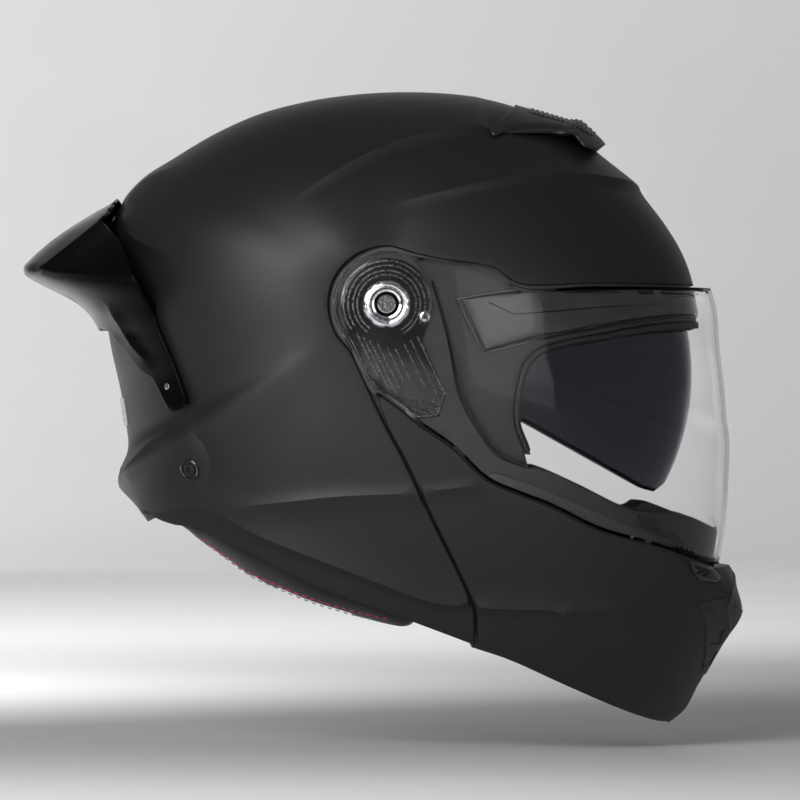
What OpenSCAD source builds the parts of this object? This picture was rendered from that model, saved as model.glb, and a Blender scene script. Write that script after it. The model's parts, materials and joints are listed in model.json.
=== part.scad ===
// Flip-up motorcycle helmet, in the pose it is worn in.
// +X is forward, +Z is up, +Y is the wearer's left. The origin is the middle of the axis
// that the chin bar and the clear visor turn about. All lengths are in millimetres.

/* [Shell] */
// Half width over the raised rear sides of the shell
shell_half_w = 126; // [110:0.5:150]
// Half width where the chin bar and visor swing past
swing_half_w = 120.5; // [105:0.5:145]
// Depth of the recess floor below the swing surface
recess_d = 1.5; // [0.5:0.1:4]
// Wall thickness of the shell
shell_t = 4; // [2.5:0.1:6]
// Height of the crown above the pivot axis
crown_h = 116; // [95:0.5:140]
// Reach of the brow in front of the pivot axis
brow_x = 168; // [140:0.5:200]
// Reach of the back of the shell behind the pivot axis
back_x = 152; // [125:0.5:185]

/* [Chin bar and visor] */
// Reach of the chin bar's front, along its own slant from the pivot axis
chin_r = 252; // [210:0.5:300]
// Wall thickness of the chin bar
chin_t = 4; // [2.5:0.1:6]
// Thickness of the chin bar's side arms at the pivot
arm_t = 1.7; // [1.2:0.1:3]
// Thickness of the clear visor
visor_t = 2; // [1.5:0.1:3]
// Radius of the visor's round side arms
visor_arm_r = 28; // [22:0.5:36]
// Thickness of the mechanism plates under the visor
plate_t = 1; // [0.8:0.1:2]
// Radius of the mechanism plates
plate_r = 24; // [18:0.5:30]

/* [Sun visor] */
// Pivot of the sun visor, forward of the main pivot
sun_pivot_x = 38; // [30:0.5:50]
// Pivot of the sun visor, below the main pivot
sun_pivot_drop = 36; // [25:0.5:45]
// Radius of the sun visor about its pivot
sun_r = 126.5; // [100:0.5:128]
// Half width of the sun visor's side arms
sun_half_w = 97; // [80:0.5:104]
// Thickness of the sun visor
sun_t = 2; // [1.5:0.1:3]

/* [Liner] */
// Half width of the head space inside the foam
head_half_w = 84; // [72:0.5:95]
// Radius of the speaker pockets
pocket_r = 22; // [18:0.5:26]
// Depth of the speaker pockets from the deepest point of the foam's face
pocket_d = 10; // [6:0.5:14]
// Thickness of the comfort pad under the crown
pad_t = 7; // [4:0.5:12]

/* [Pivots and fits] */
// Radius of the hubs that the chin bar turns on
hub_r = 8; // [6:0.25:10]
// Outer radius of the chrome rings that the visor turns on
ring_r = 12.5; // [10:0.25:16]
// Running clearance, radial, between a hub and what turns on it
run_fit = 0.06; // [0.01:0.01:0.1]
// Gap left between two pieces that pass or face each other
gap = 0.6; // [0.4:0.05:1]

/* [Spoiler and vents] */
// How far the spoiler stands off the shell's sides
spoiler_h = 3.5; // [2:0.1:6]
// Reach of the spoiler's tip behind the pivot axis
spoiler_x = 197; // [175:0.5:225]
// Width of the top vent's sliding cover
slider_w = 34; // [20:0.5:50]
// Width of the chin strap's webbing
strap_w = 20; // [15:0.5:28]

/* [Hidden] */
$fn = 64;
// Squareness of the cross sections: 2 is an ellipse, more is boxier.
bulk = 2.2;
big = 600;

// Each surface is a closed skin around the pivot axis. Its side outline is given as
// [angle, radius] knots seen from the left of the wearer: 0 is forward, 90 is up.
low_half_w = swing_half_w - recess_d;
cavity_half_w = low_half_w - shell_t;
arm_in = swing_half_w + gap;
arm_out = arm_in + arm_t;
plate_in = arm_out + 0.1;
plate_out = plate_in + plate_t;
visor_in = plate_out + gap + 0.4;
visor_out = visor_in + visor_t;

crown_k = crown_h / 116;
brow_k = brow_x / 168;
back_k = back_x / 152;
chin_k = chin_r / 252;

// Side outline of the shell, closed below the neck by a curve that is cut away later.
body_knots = [
    [0, 168 * brow_k], [10, 162 * brow_k], [24, 149.5 * brow_k], [36, 141 * brow_k],
    [49, 133 * crown_k], [61, 126 * crown_k], [74, 119.5 * crown_k], [87, 116 * crown_k],
    [100, 116 * crown_k], [113, 119.5 * crown_k], [124, 125 * crown_k], [134, 131 * crown_k],
    [144, 139 * back_k], [153, 149 * back_k], [160, 154 * back_k], [170, 154 * back_k],
    [180, 152 * back_k], [188, 150.5 * back_k], [197, 150.5 * back_k], [205, 155 * back_k],
    [209, 160 * back_k], [213, 173 * back_k], [229, 187 * back_k], [250, 225], [270, 250],
    [285, 263 * chin_k], [298, 273 * chin_k], [303, 271 * chin_k], [306.5, 270 * chin_k],
    [309.5, 264 * chin_k], [315, 256 * chin_k], [319.4, 252 * chin_k], [321.2, 242.5 * chin_k],
    [324.3, 223 * chin_k], [326, 216 * chin_k], [335, 195 * chin_k], [348, 176 * chin_k],
    [360, 168 * brow_k]];

// Side outline of the shell's floor under the visor and the chin bar.
low_knots = concat(
    [for (k = body_knots) if (k[0] < 240) [k[0], k[1] - (k[0] < 40 ? 2 : 0.6)]],
    [[250, 223], [268, 240], [285, 250], [300, 240], [315, 215], [330, 190], [345, 173],
     [360, 168 * brow_k - 2]]);

// Inner side outline of the chin bar, thick at the ledge that the visor shuts on.
chin_in_knots = concat(
    [[0, 168 * brow_k], [90, 160], [180, 160], [250, 215], [270, 240]],
    [for (k = body_knots) if (k[0] > 280 && k[0] < 314) [k[0], k[1] - chin_t]],
    [[315, 251 * chin_k], [318, 241 * chin_k], [320, 230 * chin_k], [322, 220 * chin_k],
     [324.3, 213 * chin_k], [329.6, 203 * chin_k], [335, 193 * chin_k], [348, 174],
     [360, 168 * brow_k]]);

// Outer side outline of the clear visor.
visor_knots = [
    [0, 177.5 * brow_k], [5, 174 * brow_k], [30, 172 * brow_k], [90, 170], [180, 170],
    [250, 215], [290, 262 * chin_k], [310, 250 * chin_k], [324.5, 222 * chin_k],
    [329.6, 212.5 * chin_k], [333.4, 206 * chin_k], [339.5, 197 * chin_k],
    [342, 192.5 * chin_k], [352, 181.5 * brow_k], [360, 177.5 * brow_k]];

// Outer side outline of the spoiler.
spoiler_knots = [
    [0, 180], [90, 130], [140, 141 * back_k], [150, 150 * back_k], [158.5, 157.5 * back_k],
    [161.5, 164 * back_k], [173.3, spoiler_x - 0.5], [174.3, spoiler_x],
    [175.2, spoiler_x - 2], [178, 175 * back_k], [180, 165 * back_k], [183, 158 * back_k],
    [187, 155 * back_k], [200, 156 * back_k], [215, 180 * back_k], [270, 250], [360, 180]];

// Outer side outline of the top vent.
top_vent_knots = [
    [0, 180], [20, 160], [34, 144.5 * crown_k], [36.7, 147 * crown_k], [41.5, 145.5 * crown_k],
    [44, 144.5 * crown_k], [46.2, 140 * crown_k], [53.7, 132.2 * crown_k],
    [58.4, 128.8 * crown_k], [70, 122 * crown_k], [90, 117], [180, 155], [270, 240], [360, 180]];

// The head space, which the foam is hollowed out by.
head_knots = [
    [0, 118], [30, 108], [60, 92], [90, 84], [120, 90], [150, 104], [180, 112], [215, 122],
    [250, 190], [270, 230], [300, 220], [330, 150], [360, 118]];

// Smooth curve through [angle, radius] knots.
function span(k, a, i = 0) = i >= len(k) - 2 || a < k[i + 1][0] ? i : span(k, a, i + 1);
function slope(k, i) =
    let (last = len(k) - 1,
         p = i == 0 ? k[last - 1] - [360, 0] : k[i - 1],
         q = i == last ? k[1] + [360, 0] : k[i + 1])
    (q[1] - p[1]) / (q[0] - p[0]);
function radius(k, a) =
    let (i = span(k, a), h = k[i + 1][0] - k[i][0], t = (a - k[i][0]) / h)
    (2 * t^3 - 3 * t^2 + 1) * k[i][1] + (t^3 - 2 * t^2 + t) * slope(k, i) * h
    + (3 * t^2 - 2 * t^3) * k[i + 1][1] + (t^3 - t^2) * slope(k, i + 1) * h;
function shift(k, d) = [for (p = k) [p[0], p[1] + d]];
function step(t) = let (u = max(0, min(1, t))) u * u * (3 - 2 * u);

// Raised rear sides: 1 behind and below the pivot, 0 where the visor and chin bar swing.
function raised(a) = step((a - 75) / 60) * (1 - step((a - 284) / 12));
// Half width at a point of a skin that is raised from low to high, f being its radius share.
function half_w(a, f, low, high) = low + (high - low) * raised(a) * step(f / 0.4);

// Sideways reach of a plain skin at x, z.
function skin_y(k, w, x, z) =
    let (a = (atan2(z, x) + 360) % 360, f = norm([x, z]) / radius(k, a))
    w * (1 - f^bulk)^(1 / bulk);

// Sideways reach of the shell, raised sides included.
function body_y(x, z) =
    let (a = (atan2(z, x) + 360) % 360, f = norm([x, z]) / radius(body_knots, a))
    half_w(a, f, swing_half_w, shell_half_w) * (1 - f^bulk)^(1 / bulk);

// Outline of a ribbon of thickness t along the points p.
function ribbon_normal(p, i) =
    let (d = p[min(i + 1, len(p) - 1)] - p[max(i - 1, 0)]) [-d[1], d[0]] / norm(d);
function ribbon(p, t) = concat(
    [for (i = [0:len(p) - 1]) p[i] + ribbon_normal(p, i) * t / 2],
    [for (i = [len(p) - 1:-1:0]) p[i] - ribbon_normal(p, i) * t / 2]);

all_round = [for (a = [0:6:354]) a];
chin_side = concat([for (a = [0:18:252]) a], [for (a = [264:6:300]) a],
                   [for (a = [303:2:327]) a], [for (a = [332:7:353]) a]);
front_side = concat([for (a = [0:5:30]) a], [for (a = [48:18:250]) a],
                    [for (a = [260:6:302]) a], [for (a = [308:4:356]) a]);
rear_side = concat([for (a = [0:30:120]) a], [for (a = [132:6:156]) a],
                   [for (a = [158:2:190]) a], [for (a = [196:6:250]) a], [270, 300, 330]);
top_side = concat([for (a = [0:4:92]) a], [for (a = [110:30:350]) a]);

// Closed skin around the pivot axis: rings of points at rising y, and a point at each end.
module skin(knots, low, high, angles = all_round, rings = 20) {
    n = len(angles);
    radii = [for (a = angles) radius(knots, a)];
    pts = concat(
        [[0, -low, 0]],
        [for (j = [1:rings - 1], i = [0:n - 1])
            let (a = angles[i], u = -90 + 180 * j / rings, f = cos(u)^(2 / bulk),
                 y = sign(u) * half_w(a, f, low, high) * abs(sin(u))^(2 / bulk))
            [radii[i] * f * cos(a), y, radii[i] * f * sin(a)]],
        [[0, low, 0]]);
    last = len(pts) - 1;
    faces = concat(
        [for (i = [0:n - 1]) [0, 1 + (i + 1) % n, 1 + i]],
        [for (j = [0:rings - 3], i = [0:n - 1], half = [0, 1])
            let (a = 1 + j * n + i, b = 1 + j * n + (i + 1) % n)
            half == 0 ? [a, b, a + n] : [b, b + n, a + n]],
        [for (i = [0:n - 1]) [last, last - n + i, last - n + (i + 1) % n]]);
    polyhedron(pts, faces, convexity = 8);
}

// Side outline swept right across the helmet.
module prism(outline, w = big) {
    rotate([90, 0, 0])
        linear_extrude(height = w, center = true)
            polygon(outline);
}

// Cylinder along Y, from y0 to y1, on the left; side -1 puts it on the right.
module pin(x, z, r, y0, y1, side = 1) {
    translate([x, side * (y0 + y1) / 2, z])
        rotate([90, 0, 0])
            cylinder(r = r, h = abs(y1 - y0), center = true);
}

// Puts children on the shell's left side at x, z, their +Z along its outward normal.
module on_shell(x, z) {
    dx = (body_y(x + 1, z) - body_y(x - 1, z)) / 2;
    dz = (body_y(x, z + 1) - body_y(x, z - 1)) / 2;
    pan = atan(dx);
    translate([x, body_y(x, z), z])
        rotate([atan(-dz * cos(pan)) - 90, 0, pan])
            children();
}

// Draws on the right side and, mirrored, on the left.
module both_sides() {
    for (side = [0, 1])
        mirror([0, side, 0])
            children();
}

// Piece of skin between two closed skins, kept inside a side outline. Here and below,
// resize([0, 0, 0]) changes no size: it has the solid worked out as one mesh.
module skin_piece(outline) {
    resize([0, 0, 0])
        intersection() {
            difference() {
                children(0);
                children(1);
            }
            prism(outline);
        }
}

// Side outlines, as [x, z] points.
bottom_edge = [
    [-103, -118], [-95, -119.5], [-89, -124], [-71, -132.5], [-49, -144], [-27, -153],
    [-1, -162], [31, -174], [46, -180], [62, -187]];
below_shell = concat(
    [[-300, -94.5], [-147, -94.5], [-144, -98], [-133, -107], [-122, -114], [-113, -117]],
    bottom_edge, [[300, -187], [300, -400], [-300, -400]]);
seam = [[-17, -29], [-9, -46], [0, -65], [8.5, -81], [17, -99], [27, -120], [35, -136],
        [43, -153], [46, -162], [47, -178]];
recess = concat(
    [[12, 27], [30, 23], [56, 19.5], [66, 12], [75, 9], [111, 11], [300, 11], [300, -400],
     [47, -400]],
    [for (i = [len(seam) - 1:-1:0]) seam[i]], [[-27, -12], [-12, 25]]);
eye_port = [
    [300, -8], [168, -8], [142, -10], [111, -15.5], [85, -21], [76, -26], [70.5, -35],
    [67, -61], [72, -76], [75, -90], [78, -150], [62, -187], [62, -400], [300, -400]];
spoiler_outline = [
    [-145, 57], [-151, 45], [-143, 36], [-138, 26], [-129.5, 7], [-121, -13], [-113, -31],
    [-106, -50], [-109, -55], [-113, -56], [-116, -55], [-125, -39], [-131, -35],
    [-135.5, -30], [-143, -21], [-150, -13], [-300, -13], [-300, 90], [-145, 90]];
top_vent_outline = [
    [55, 94.5], [57, 91], [64, 93], [72, 93], [100, 92], [106, 86], [113, 84], [130, 84],
    [130, 120], [67, 120], [67, 106]];
step_line = [
    [-7, -45], [3, -52], [18, -64], [35, -76], [52, -92], [72, -101], [84, -105.5],
    [112, -119], [143, -128], [163, -135], [174, -139], [300, -139]];
chin_rear = [for (p = seam) p + [1, 0]];
chin_outline = concat(
    chin_rear,
    [[48, -179], [58, -185], [72, -191], [91, -200], [122, -214], [143, -222],
     [151, -223.5], [300, -223.5], [300, -113.5], [165, -113.5], [133, -109], [122, -105],
     [100, -94], [81, -86], [72, -86], [58, -79], [48, -66], [39, -50], [35, -34], [31, -10],
     [25, 8]]);
visor_outline = concat(
    [[9, 26], [56, 18.5], [66, 11], [75, 8], [111, 9.8], [300, 9.8], [300, -138.4]],
    [for (i = [len(step_line) - 2:-1:0]) step_line[i] + [0.3, 0.6]], [[-24, -13]]);
strip_outline = concat(
    [[56, -88], [67, -91], [91.5, -101], [122, -114], [143, -122], [165, -131], [300, -131],
     [300, -138.4]],
    [for (i = [10:-1:4]) step_line[i] + [0.3, 0.6]]);
neck_outline = [
    [-145, -80], [-100, -100], [-70, -114], [-30, -133], [0, -147], [16, -152], [16, -166],
    [10, -170], [3, -169.5], [-6, -167], [-23, -162], [-39, -157], [-56, -150], [-69, -144],
    [-83, -134], [-94, -126.5], [-102, -119.5], [-125, -108], [-138, -98]];

// Furthest that the sun visor reaches from the main pivot, with room to pass.
sun_reach = norm([sun_pivot_x, sun_pivot_drop]) + sun_r + 2;

// Colours
matt_black = [0.08, 0.08, 0.085];
foam_black = [0.15, 0.15, 0.16];

// Planes that the foam and the cloth pads are divided at.
foam_z = 42;
foam_front = 62;
foam_back = -66;

// Chin strap, seen from the front: [y, z] points from the rivet to the buckle.
strap_x = 54;
strap_line = [[98.5, -90], [97.5, -112], [93, -134], [84, -150], [67, -161.5],
              [46, -167.4], [22, -168]];
buckle_z = -172;
lever_y = -8.5;
lever_z = buckle_z - 5.7;

// Surface under the clear visor on the chin bar.
ledge_knots = shift(visor_knots, -visor_t - gap - 1.4);

// Recess that the visor's arms and the chin bar lie in, grown by d.
module recess_prism(d = 0) {
    rotate([90, 0, 0])
        linear_extrude(height = big, center = true)
            union() {
                polygon([for (p = recess) p + [-d, d]]);
                circle(r = visor_arm_r + 2 + d);
            }
}

// Shell with the recess for the arms, the eye port and the open neck.
module outer_shell() {
    color(matt_black)
        resize([0, 0, 0])
            difference() {
                union() {
                    difference() {
                        skin(body_knots, swing_half_w, shell_half_w);
                        recess_prism();
                    }
                    intersection() {
                        skin(low_knots, low_half_w, low_half_w);
                        recess_prism(2);
                    }
                }
                skin(shift(low_knots, -shell_t), cavity_half_w, cavity_half_w);
                prism(below_shell);
                prism(eye_port);
                both_sides()
                    pin(0, 0, 3.1, 100, 140);
                vent_pocket(0.15);
            }
}

// Rubber bead in the first few millimetres of the eye port.
module eyeport_seal() {
    color(foam_black)
        resize([0, 0, 0])
            difference() {
                skin(shift(low_knots, 0.8), low_half_w + 0.8, low_half_w + 0.8);
                skin(shift(low_knots, -shell_t + 0.2), cavity_half_w, cavity_half_w);
                prism(concat([[73, -80]], [for (i = [8:-1:1]) eye_port[i] + [0.4, -0.4]],
                             [[300, -8.4], [300, 300], [-300, 300], [-300, -80]]));
                prism(concat([for (i = [1:8]) eye_port[i] + [3.4, -3.4]],
                             [[300, -79.4], [300, -11.4]]));
                translate([0, 0, -big / 2 - 78])
                    cube([big, big, big], center = true);
            }
}

// Gloss spoiler behind the crown, with a leg down each side.
module rear_spoiler() {
    color([0.03, 0.03, 0.035])
        resize([0, 0, 0])
            difference() {
                intersection() {
                    difference() {
                        skin(spoiler_knots, shell_half_w + spoiler_h, shell_half_w + spoiler_h,
                             rear_side);
                        skin(shift(body_knots, 0.4), swing_half_w + 0.4, shell_half_w + 0.4,
                             all_round);
                    }
                    prism(spoiler_outline);
                }
                spoiler_bores(2.1);
            }
}

// Line of the spoiler's side screws.
module spoiler_bores(r) {
    both_sides()
        on_shell(-116, -43)
            cylinder(r = r, h = 40);
}

// Screws at the tips of the spoiler's legs.
module spoiler_screws() {
    color([0.5, 0.5, 0.52])
        both_sides()
            on_shell(-116, -43)
                translate([0, 0, 0.6])
                    cylinder(r = 1.9, h = spoiler_h + 0.5);
}

// Puts a vent part low on the back, square to the shell, with -X outwards.
module on_rear_vent() {
    translate([-141.3, 0, -56.5])
        rotate([0, -9, 0])
            children();
}

// Pocket of the vent insert, d larger all round.
module vent_pocket(d = 0) {
    on_rear_vent()
        translate([-4, 0, 0])
            cube([12 + 2 * d, 46 + 2 * d, 15 + 2 * d], center = true);
}

// Pale outlet with two openings, standing just proud of the shell.
module rear_vent() {
    color([0.6, 0.6, 0.62])
        on_rear_vent()
            difference() {
                translate([0.35, 0, 0])
                    cube([2.7, 46, 15], center = true);
                for (side = [-1, 1])
                    translate([-1.2, side * 11, 0])
                        cube([2.4, 18, 8], center = true);
            }
}

// Cupped screws low on both sides.
module side_screws() {
    color([0.12, 0.12, 0.13])
        both_sides()
            on_shell(-104, -87)
                translate([0, 0, 0.8])
                    difference() {
                        cylinder(r = 5, h = 2.6);
                        translate([0, 0, 1.6])
                            cylinder(r = 4.2, h = 3);
                    }
}

// Air intake over the brow.
module top_vent_housing() {
    color([0.05, 0.05, 0.055])
        resize([0, 0, 0])
            difference() {
                intersection() {
                    difference() {
                        skin(top_vent_knots, swing_half_w + 4, swing_half_w + 4, top_side);
                        skin(shift(body_knots, 0.4), swing_half_w + 0.4, shell_half_w + 0.4);
                    }
                    prism(top_vent_outline);
                }
                top_slot();
            }
}

// Seat that the sliding cover runs in, on the top vent's roof.
module top_slot() {
    translate([91, 0, 106.6])
        rotate([0, 12, 0])
            cube([28, slider_w + 1.2, 8], center = true);
}

// Sliding cover of the intake, with grip ribs.
module top_vent_slider() {
    color([0.07, 0.07, 0.075])
        translate([91, 0, 106.6])
            rotate([0, 12, 0])
                translate([4, 0, -2.2])
                    difference() {
                        cube([18, slider_w, 3], center = true);
                        for (i = [-2:2])
                            translate([i * 3.2, 0, 1.6])
                                cube([1.4, slider_w - 6, 1.4], center = true);
                    }
}

// Space the sun visor sweeps, as a skin of revolution about its own pivot.
module sun_sweep(outer, inner, from, to) {
    steps = 16;
    flat = sun_half_w / sun_r;
    translate([sun_pivot_x, 0, -sun_pivot_drop])
        rotate([90, 0, 0])
            rotate([0, 0, from])
                rotate_extrude(angle = to - from)
                    polygon(concat(
                        [for (i = [0:steps]) let (t = -90 + 180 * i / steps)
                            [outer * cos(t), outer * flat * sin(t)]],
                        [for (i = [steps:-1:0]) let (t = -90 + 180 * i / steps)
                            [inner * cos(t), inner * flat * sin(t)]]));
}

// Foam between the shell and the head space, kept inside the block from p to q.
module foam_block(p, q) {
    color([0.2, 0.2, 0.21])
        difference() {
            resize([0, 0, 0])
                difference() {
                    intersection() {
                        skin(shift(low_knots, -shell_t - 0.6), cavity_half_w - 0.6,
                             cavity_half_w - 0.6);
                        prism([[-300, -76], [-120, -76], [-100, -84], [28, -84], [34, -78],
                               [36, -40], [66, -36], [72, -24], [84, -16.5], [111, -11.5],
                               [142, -7], [300, -4], [300, 300], [-300, 300]]);
                        translate(p)
                            cube(q - p);
                    }
                    skin(head_knots, head_half_w, head_half_w, [for (a = [0:10:350]) a], 16);
                    sun_sweep(sun_r + 60, sun_r - 3, -80, 82);
                    both_sides()
                        pin(sun_pivot_x, -sun_pivot_drop, 31, head_half_w - 10, 140);
                    both_sides()
                        pin(0, 0, 12, 104, 140);
                }
            both_sides()
                pin(-8, -54, pocket_r, 40, head_half_w - 2 + pocket_d);
        }
}

// Foam over the crown.
module eps_crown() {
    foam_block([-300, -300, foam_z + 0.3], [300, 300, 300]);
}

// Foam behind the brow.
module eps_brow() {
    foam_block([foam_front + 0.3, -300, -300], [300, 300, foam_z]);
}

// Foam at the back of the head.
module eps_back() {
    foam_block([-300, -300, -300], [foam_back - 0.3, 300, foam_z]);
}

// Foam at the right side, with the speaker pocket.
module eps_side_right() {
    foam_block([foam_back, -300, -300], [foam_front, -40, foam_z]);
}

// Foam at the left side, with the speaker pocket.
module eps_side_left() {
    foam_block([foam_back, 40, -300], [foam_front, 300, foam_z]);
}

// Cloth pad on the inside of the head space, kept inside a side outline.
module head_pad(outline) {
    color([0.11, 0.11, 0.12])
        skin_piece(outline) {
            skin(shift(head_knots, -0.6), head_half_w - 0.6, head_half_w - 0.6,
                 [for (a = [0:10:350]) a], 16);
            skin(shift(head_knots, -pad_t), head_half_w - pad_t, head_half_w - pad_t,
                 [for (a = [0:10:350]) a], 16);
        }
}

// Cloth pad under the crown foam.
module crown_pad() {
    head_pad([[-300, foam_z + 2], [300, foam_z + 2], [300, 300], [-300, 300]]);
}

// Cloth pad against the forehead.
module brow_pad() {
    head_pad([[foam_front + 2, 4], [300, 4], [300, foam_z], [foam_front + 2, foam_z]]);
}

// Cloth pad behind the head.
module nape_pad() {
    head_pad([[-300, -60], [foam_back - 2, -60], [foam_back - 2, foam_z], [-300, foam_z]]);
}

// Thick pad against a cheek.
module cheek_pad(side) {
    color([0.1, 0.1, 0.11])
        resize([0, 0, 0])
            intersection() {
                difference() {
                    skin(shift(low_knots, -26), 98, 98, [for (a = [0:10:350]) a], 16);
                    skin(shift(head_knots, -8), 66, 66, [for (a = [0:10:350]) a], 16);
                }
                prism([[-52, -86], [30, -86], [40, -82], [50, -70], [62, -72], [66, -84],
                       [60, -118], [44, -141], [18, -147], [-4, -141], [-30, -128],
                       [-50, -117]]);
                translate([0, side * big / 2, 0])
                    cube([big, big, big], center = true);
            }
}

module cheek_pad_right() {
    cheek_pad(-1);
}

module cheek_pad_left() {
    cheek_pad(1);
}

// Padded roll round the neck opening.
module neck_roll() {
    color([0.06, 0.06, 0.065])
        skin_piece(neck_outline) {
            skin(shift(low_knots, -shell_t - 0.8), cavity_half_w - 0.8, cavity_half_w - 0.8);
            skin(shift(low_knots, -shell_t - 24), cavity_half_w - 24, cavity_half_w - 24,
                 [for (a = [0:9:351]) a], 16);
        }
}

// Posts on the shell that the chin bar and the visor turn on.
module pivot_hubs() {
    color([0.3, 0.3, 0.31])
        both_sides()
            difference() {
                pin(0, 0, hub_r, low_half_w + 0.05, plate_out + 0.2);
                pin(0, 0, 3.1, 60, 200);
            }
}

// Bright rings over the posts.
module pivot_rings() {
    color([0.8, 0.8, 0.82])
        both_sides()
            difference() {
                pin(0, 0, ring_r, plate_out + 0.3, visor_out + 1);
                pin(0, 0, 6.6, plate_out + 0.8, visor_out + 10);
                pin(0, 0, 3.1, 60, 200);
            }
}

// Screws that hold the rings.
module pivot_screws() {
    color([0.7, 0.7, 0.72])
        both_sides() {
            pin(0, 0, 3, low_half_w - 8, plate_out + 1);
            difference() {
                pin(0, 0, 6.4, plate_out + 0.9, visor_out + 0.6);
                for (a = [45, 135])
                    translate([0, visor_out + 0.6, 0])
                        rotate([0, a, 0])
                            cube([8, 1.6, 1.4], center = true);
            }
        }
}

// Plates on the inside of the shell's front edge, each with the pin its latch fork closes on.
module latch_strikers() {
    color([0.7, 0.7, 0.72])
        both_sides()
            union() {
                translate([75.5, 82.4, -150])
                    cube([20, 4, 14], center = true);
                pin(82, -150, 2.5, 84, 92);
            }
}

// Pins that the sun visor turns on.
module sun_visor_pins() {
    color([0.25, 0.25, 0.26])
        both_sides()
            difference() {
                pin(sun_pivot_x, -sun_pivot_drop, 4, sun_half_w - 7, sun_half_w + 4);
                pin(sun_pivot_x, -sun_pivot_drop, 1.6, 0, 200);
            }
}

// Smoked visor that drops inside the eye port.
module sun_visor() {
    color([0.1, 0.08, 0.06, 0.7])
        difference() {
            union() {
                intersection() {
                    sun_sweep(sun_r, sun_r - sun_t, -80, 60);
                    prism([[30, -50], [52, -54], [77, -62], [94, -75], [118, -88],
                           [137, -98], [144, -99], [200, -110], [200, 2], [164, -2],
                           [142, -11], [111, -18], [86, -24], [70, -22], [52, -14],
                           [34, -16]]);
                }
                both_sides()
                    pin(sun_pivot_x, -sun_pivot_drop, 13, sun_half_w - 3.4, sun_half_w - 0.8);
            }
            both_sides()
                pin(sun_pivot_x, -sun_pivot_drop, 4 + run_fit, 40, 140);
        }
}

// Seat of the sun visor's lever, on the lower left of the shell.
module lever_seat() {
    on_shell(-34, -130)
        rotate([0, 0, 26])
            children();
}

// Track of the sun visor's lever, low on the left side.
module sun_lever_track() {
    color([0.1, 0.1, 0.1])
        lever_seat()
            difference() {
                translate([0, 0, 2.2])
                    cube([56, 13, 3], center = true);
                translate([0, 0, 3.4])
                    cube([52, 6, 3], center = true);
            }
}

// Lever that drops the sun visor.
module sun_lever() {
    color([0.2, 0.2, 0.2])
        lever_seat()
            translate([-18, 0, 0])
                union() {
                    translate([0, 0, 3.5])
                        cube([9, 5, 2.4], center = true);
                    translate([0, 0, 5.6])
                        cube([14, 9, 2.6], center = true);
                }
}

// Webbing from the rivet to the buckle.
module strap(side) {
    color([0.05, 0.05, 0.055])
        difference() {
            translate([strap_x - strap_w / 2, 0, 0])
                rotate([90, 0, 90])
                    linear_extrude(height = strap_w)
                        polygon([for (p = ribbon(strap_line, 2))
                            [side * p[0], p[1]]]);
            pin(strap_x, -98, 2.7, 60, 130, side);
        }
}

module strap_right() {
    strap(-1);
}

module strap_left() {
    strap(1);
}

// Rivets that hold the webbing to the shell.
module strap_rivets() {
    color([0.7, 0.7, 0.72])
        both_sides() {
            pin(strap_x, -98, 2.5, 96.4, 103.4);
            pin(strap_x, -98, 6, 95, 96.6);
        }
}

// Buckle's box, with the ears and the pin of its lever.
module buckle_socket() {
    color([0.75, 0.75, 0.77]) {
        difference() {
            union() {
                translate([strap_x, 0, buckle_z])
                    cube([26, 38, 7], center = true);
                for (side = [-1, 1])
                    translate([strap_x + side * 12, lever_y, buckle_z - 5.5])
                        cube([2, 5, 5], center = true);
            }
            translate([strap_x, 6, buckle_z + 0.4])
                cube([18, 40, 3], center = true);
            translate([strap_x, lever_y + 2, buckle_z - 3])
                cube([14, 12, 2.4], center = true);
        }
        lever_pin(0.8, 25);
    }
}

// Cylinder on the buckle lever's hinge line.
module lever_pin(r, h) {
    translate([strap_x, lever_y, lever_z])
        rotate([0, 90, 0])
            cylinder(r = r, h = h, center = true);
}

// Toothed tongue in the buckle.
module buckle_tongue() {
    color([0.7, 0.7, 0.72])
        difference() {
            translate([strap_x, 17, buckle_z + 0.4])
                cube([17, 46, 2], center = true);
            for (i = [0:4])
                translate([strap_x, -3 + 4 * i, buckle_z + 1.4])
                    cube([11, 1.6, 1.2], center = true);
        }
}

// Red lever that frees the tongue.
module buckle_lever() {
    color([0.7, 0.1, 0.1])
        difference() {
            union() {
                lever_pin(1.7, 21);
                translate([strap_x, lever_y + 12, lever_z])
                    cube([20, 24, 2.2], center = true);
                translate([strap_x, lever_y + 1.5, lever_z + 2])
                    cube([12, 3, 2.4], center = true);
            }
            lever_pin(0.8 + run_fit, 40);
        }
}

// Outline swept across the helmet together with a disc of radius r round the pivot.
module arm_prism(outline, r) {
    rotate([90, 0, 0])
        linear_extrude(height = big, center = true)
            union() {
                polygon(outline);
                circle(r = r);
            }
}

// Chin bar with the arms that reach back to the pivots.
module chin_bar_shell() {
    color(matt_black)
        difference() {
            resize([0, 0, 0])
                intersection() {
                    difference() {
                        union() {
                            intersection() {
                                skin(body_knots, shell_half_w, shell_half_w, chin_side);
                                prism(concat(step_line,
                                             [[300, -300], [-40, -300], [-40, -45]]));
                            }
                            skin(ledge_knots, arm_out, arm_out, chin_side);
                        }
                        skin(chin_in_knots, arm_in, arm_in, chin_side);
                        translate([160, 0, -184])
                            cube([80, 48, 10], center = true);
                    }
                    arm_prism(chin_outline, visor_arm_r - 0.6);
                }
            both_sides()
                pin(0, 0, hub_r + run_fit, 60, 200);
        }
}

// Beaded strip on the chin bar that the visor shuts against.
module visor_rest_seal() {
    color([0.45, 0.45, 0.47])
        skin_piece(strip_outline) {
            skin(shift(ledge_knots, 1.3), arm_out + 1.3, arm_out + 1.3, chin_side);
            skin(shift(ledge_knots, 0.1), arm_out + 0.1, arm_out + 0.1, chin_side);
        }
}

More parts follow.
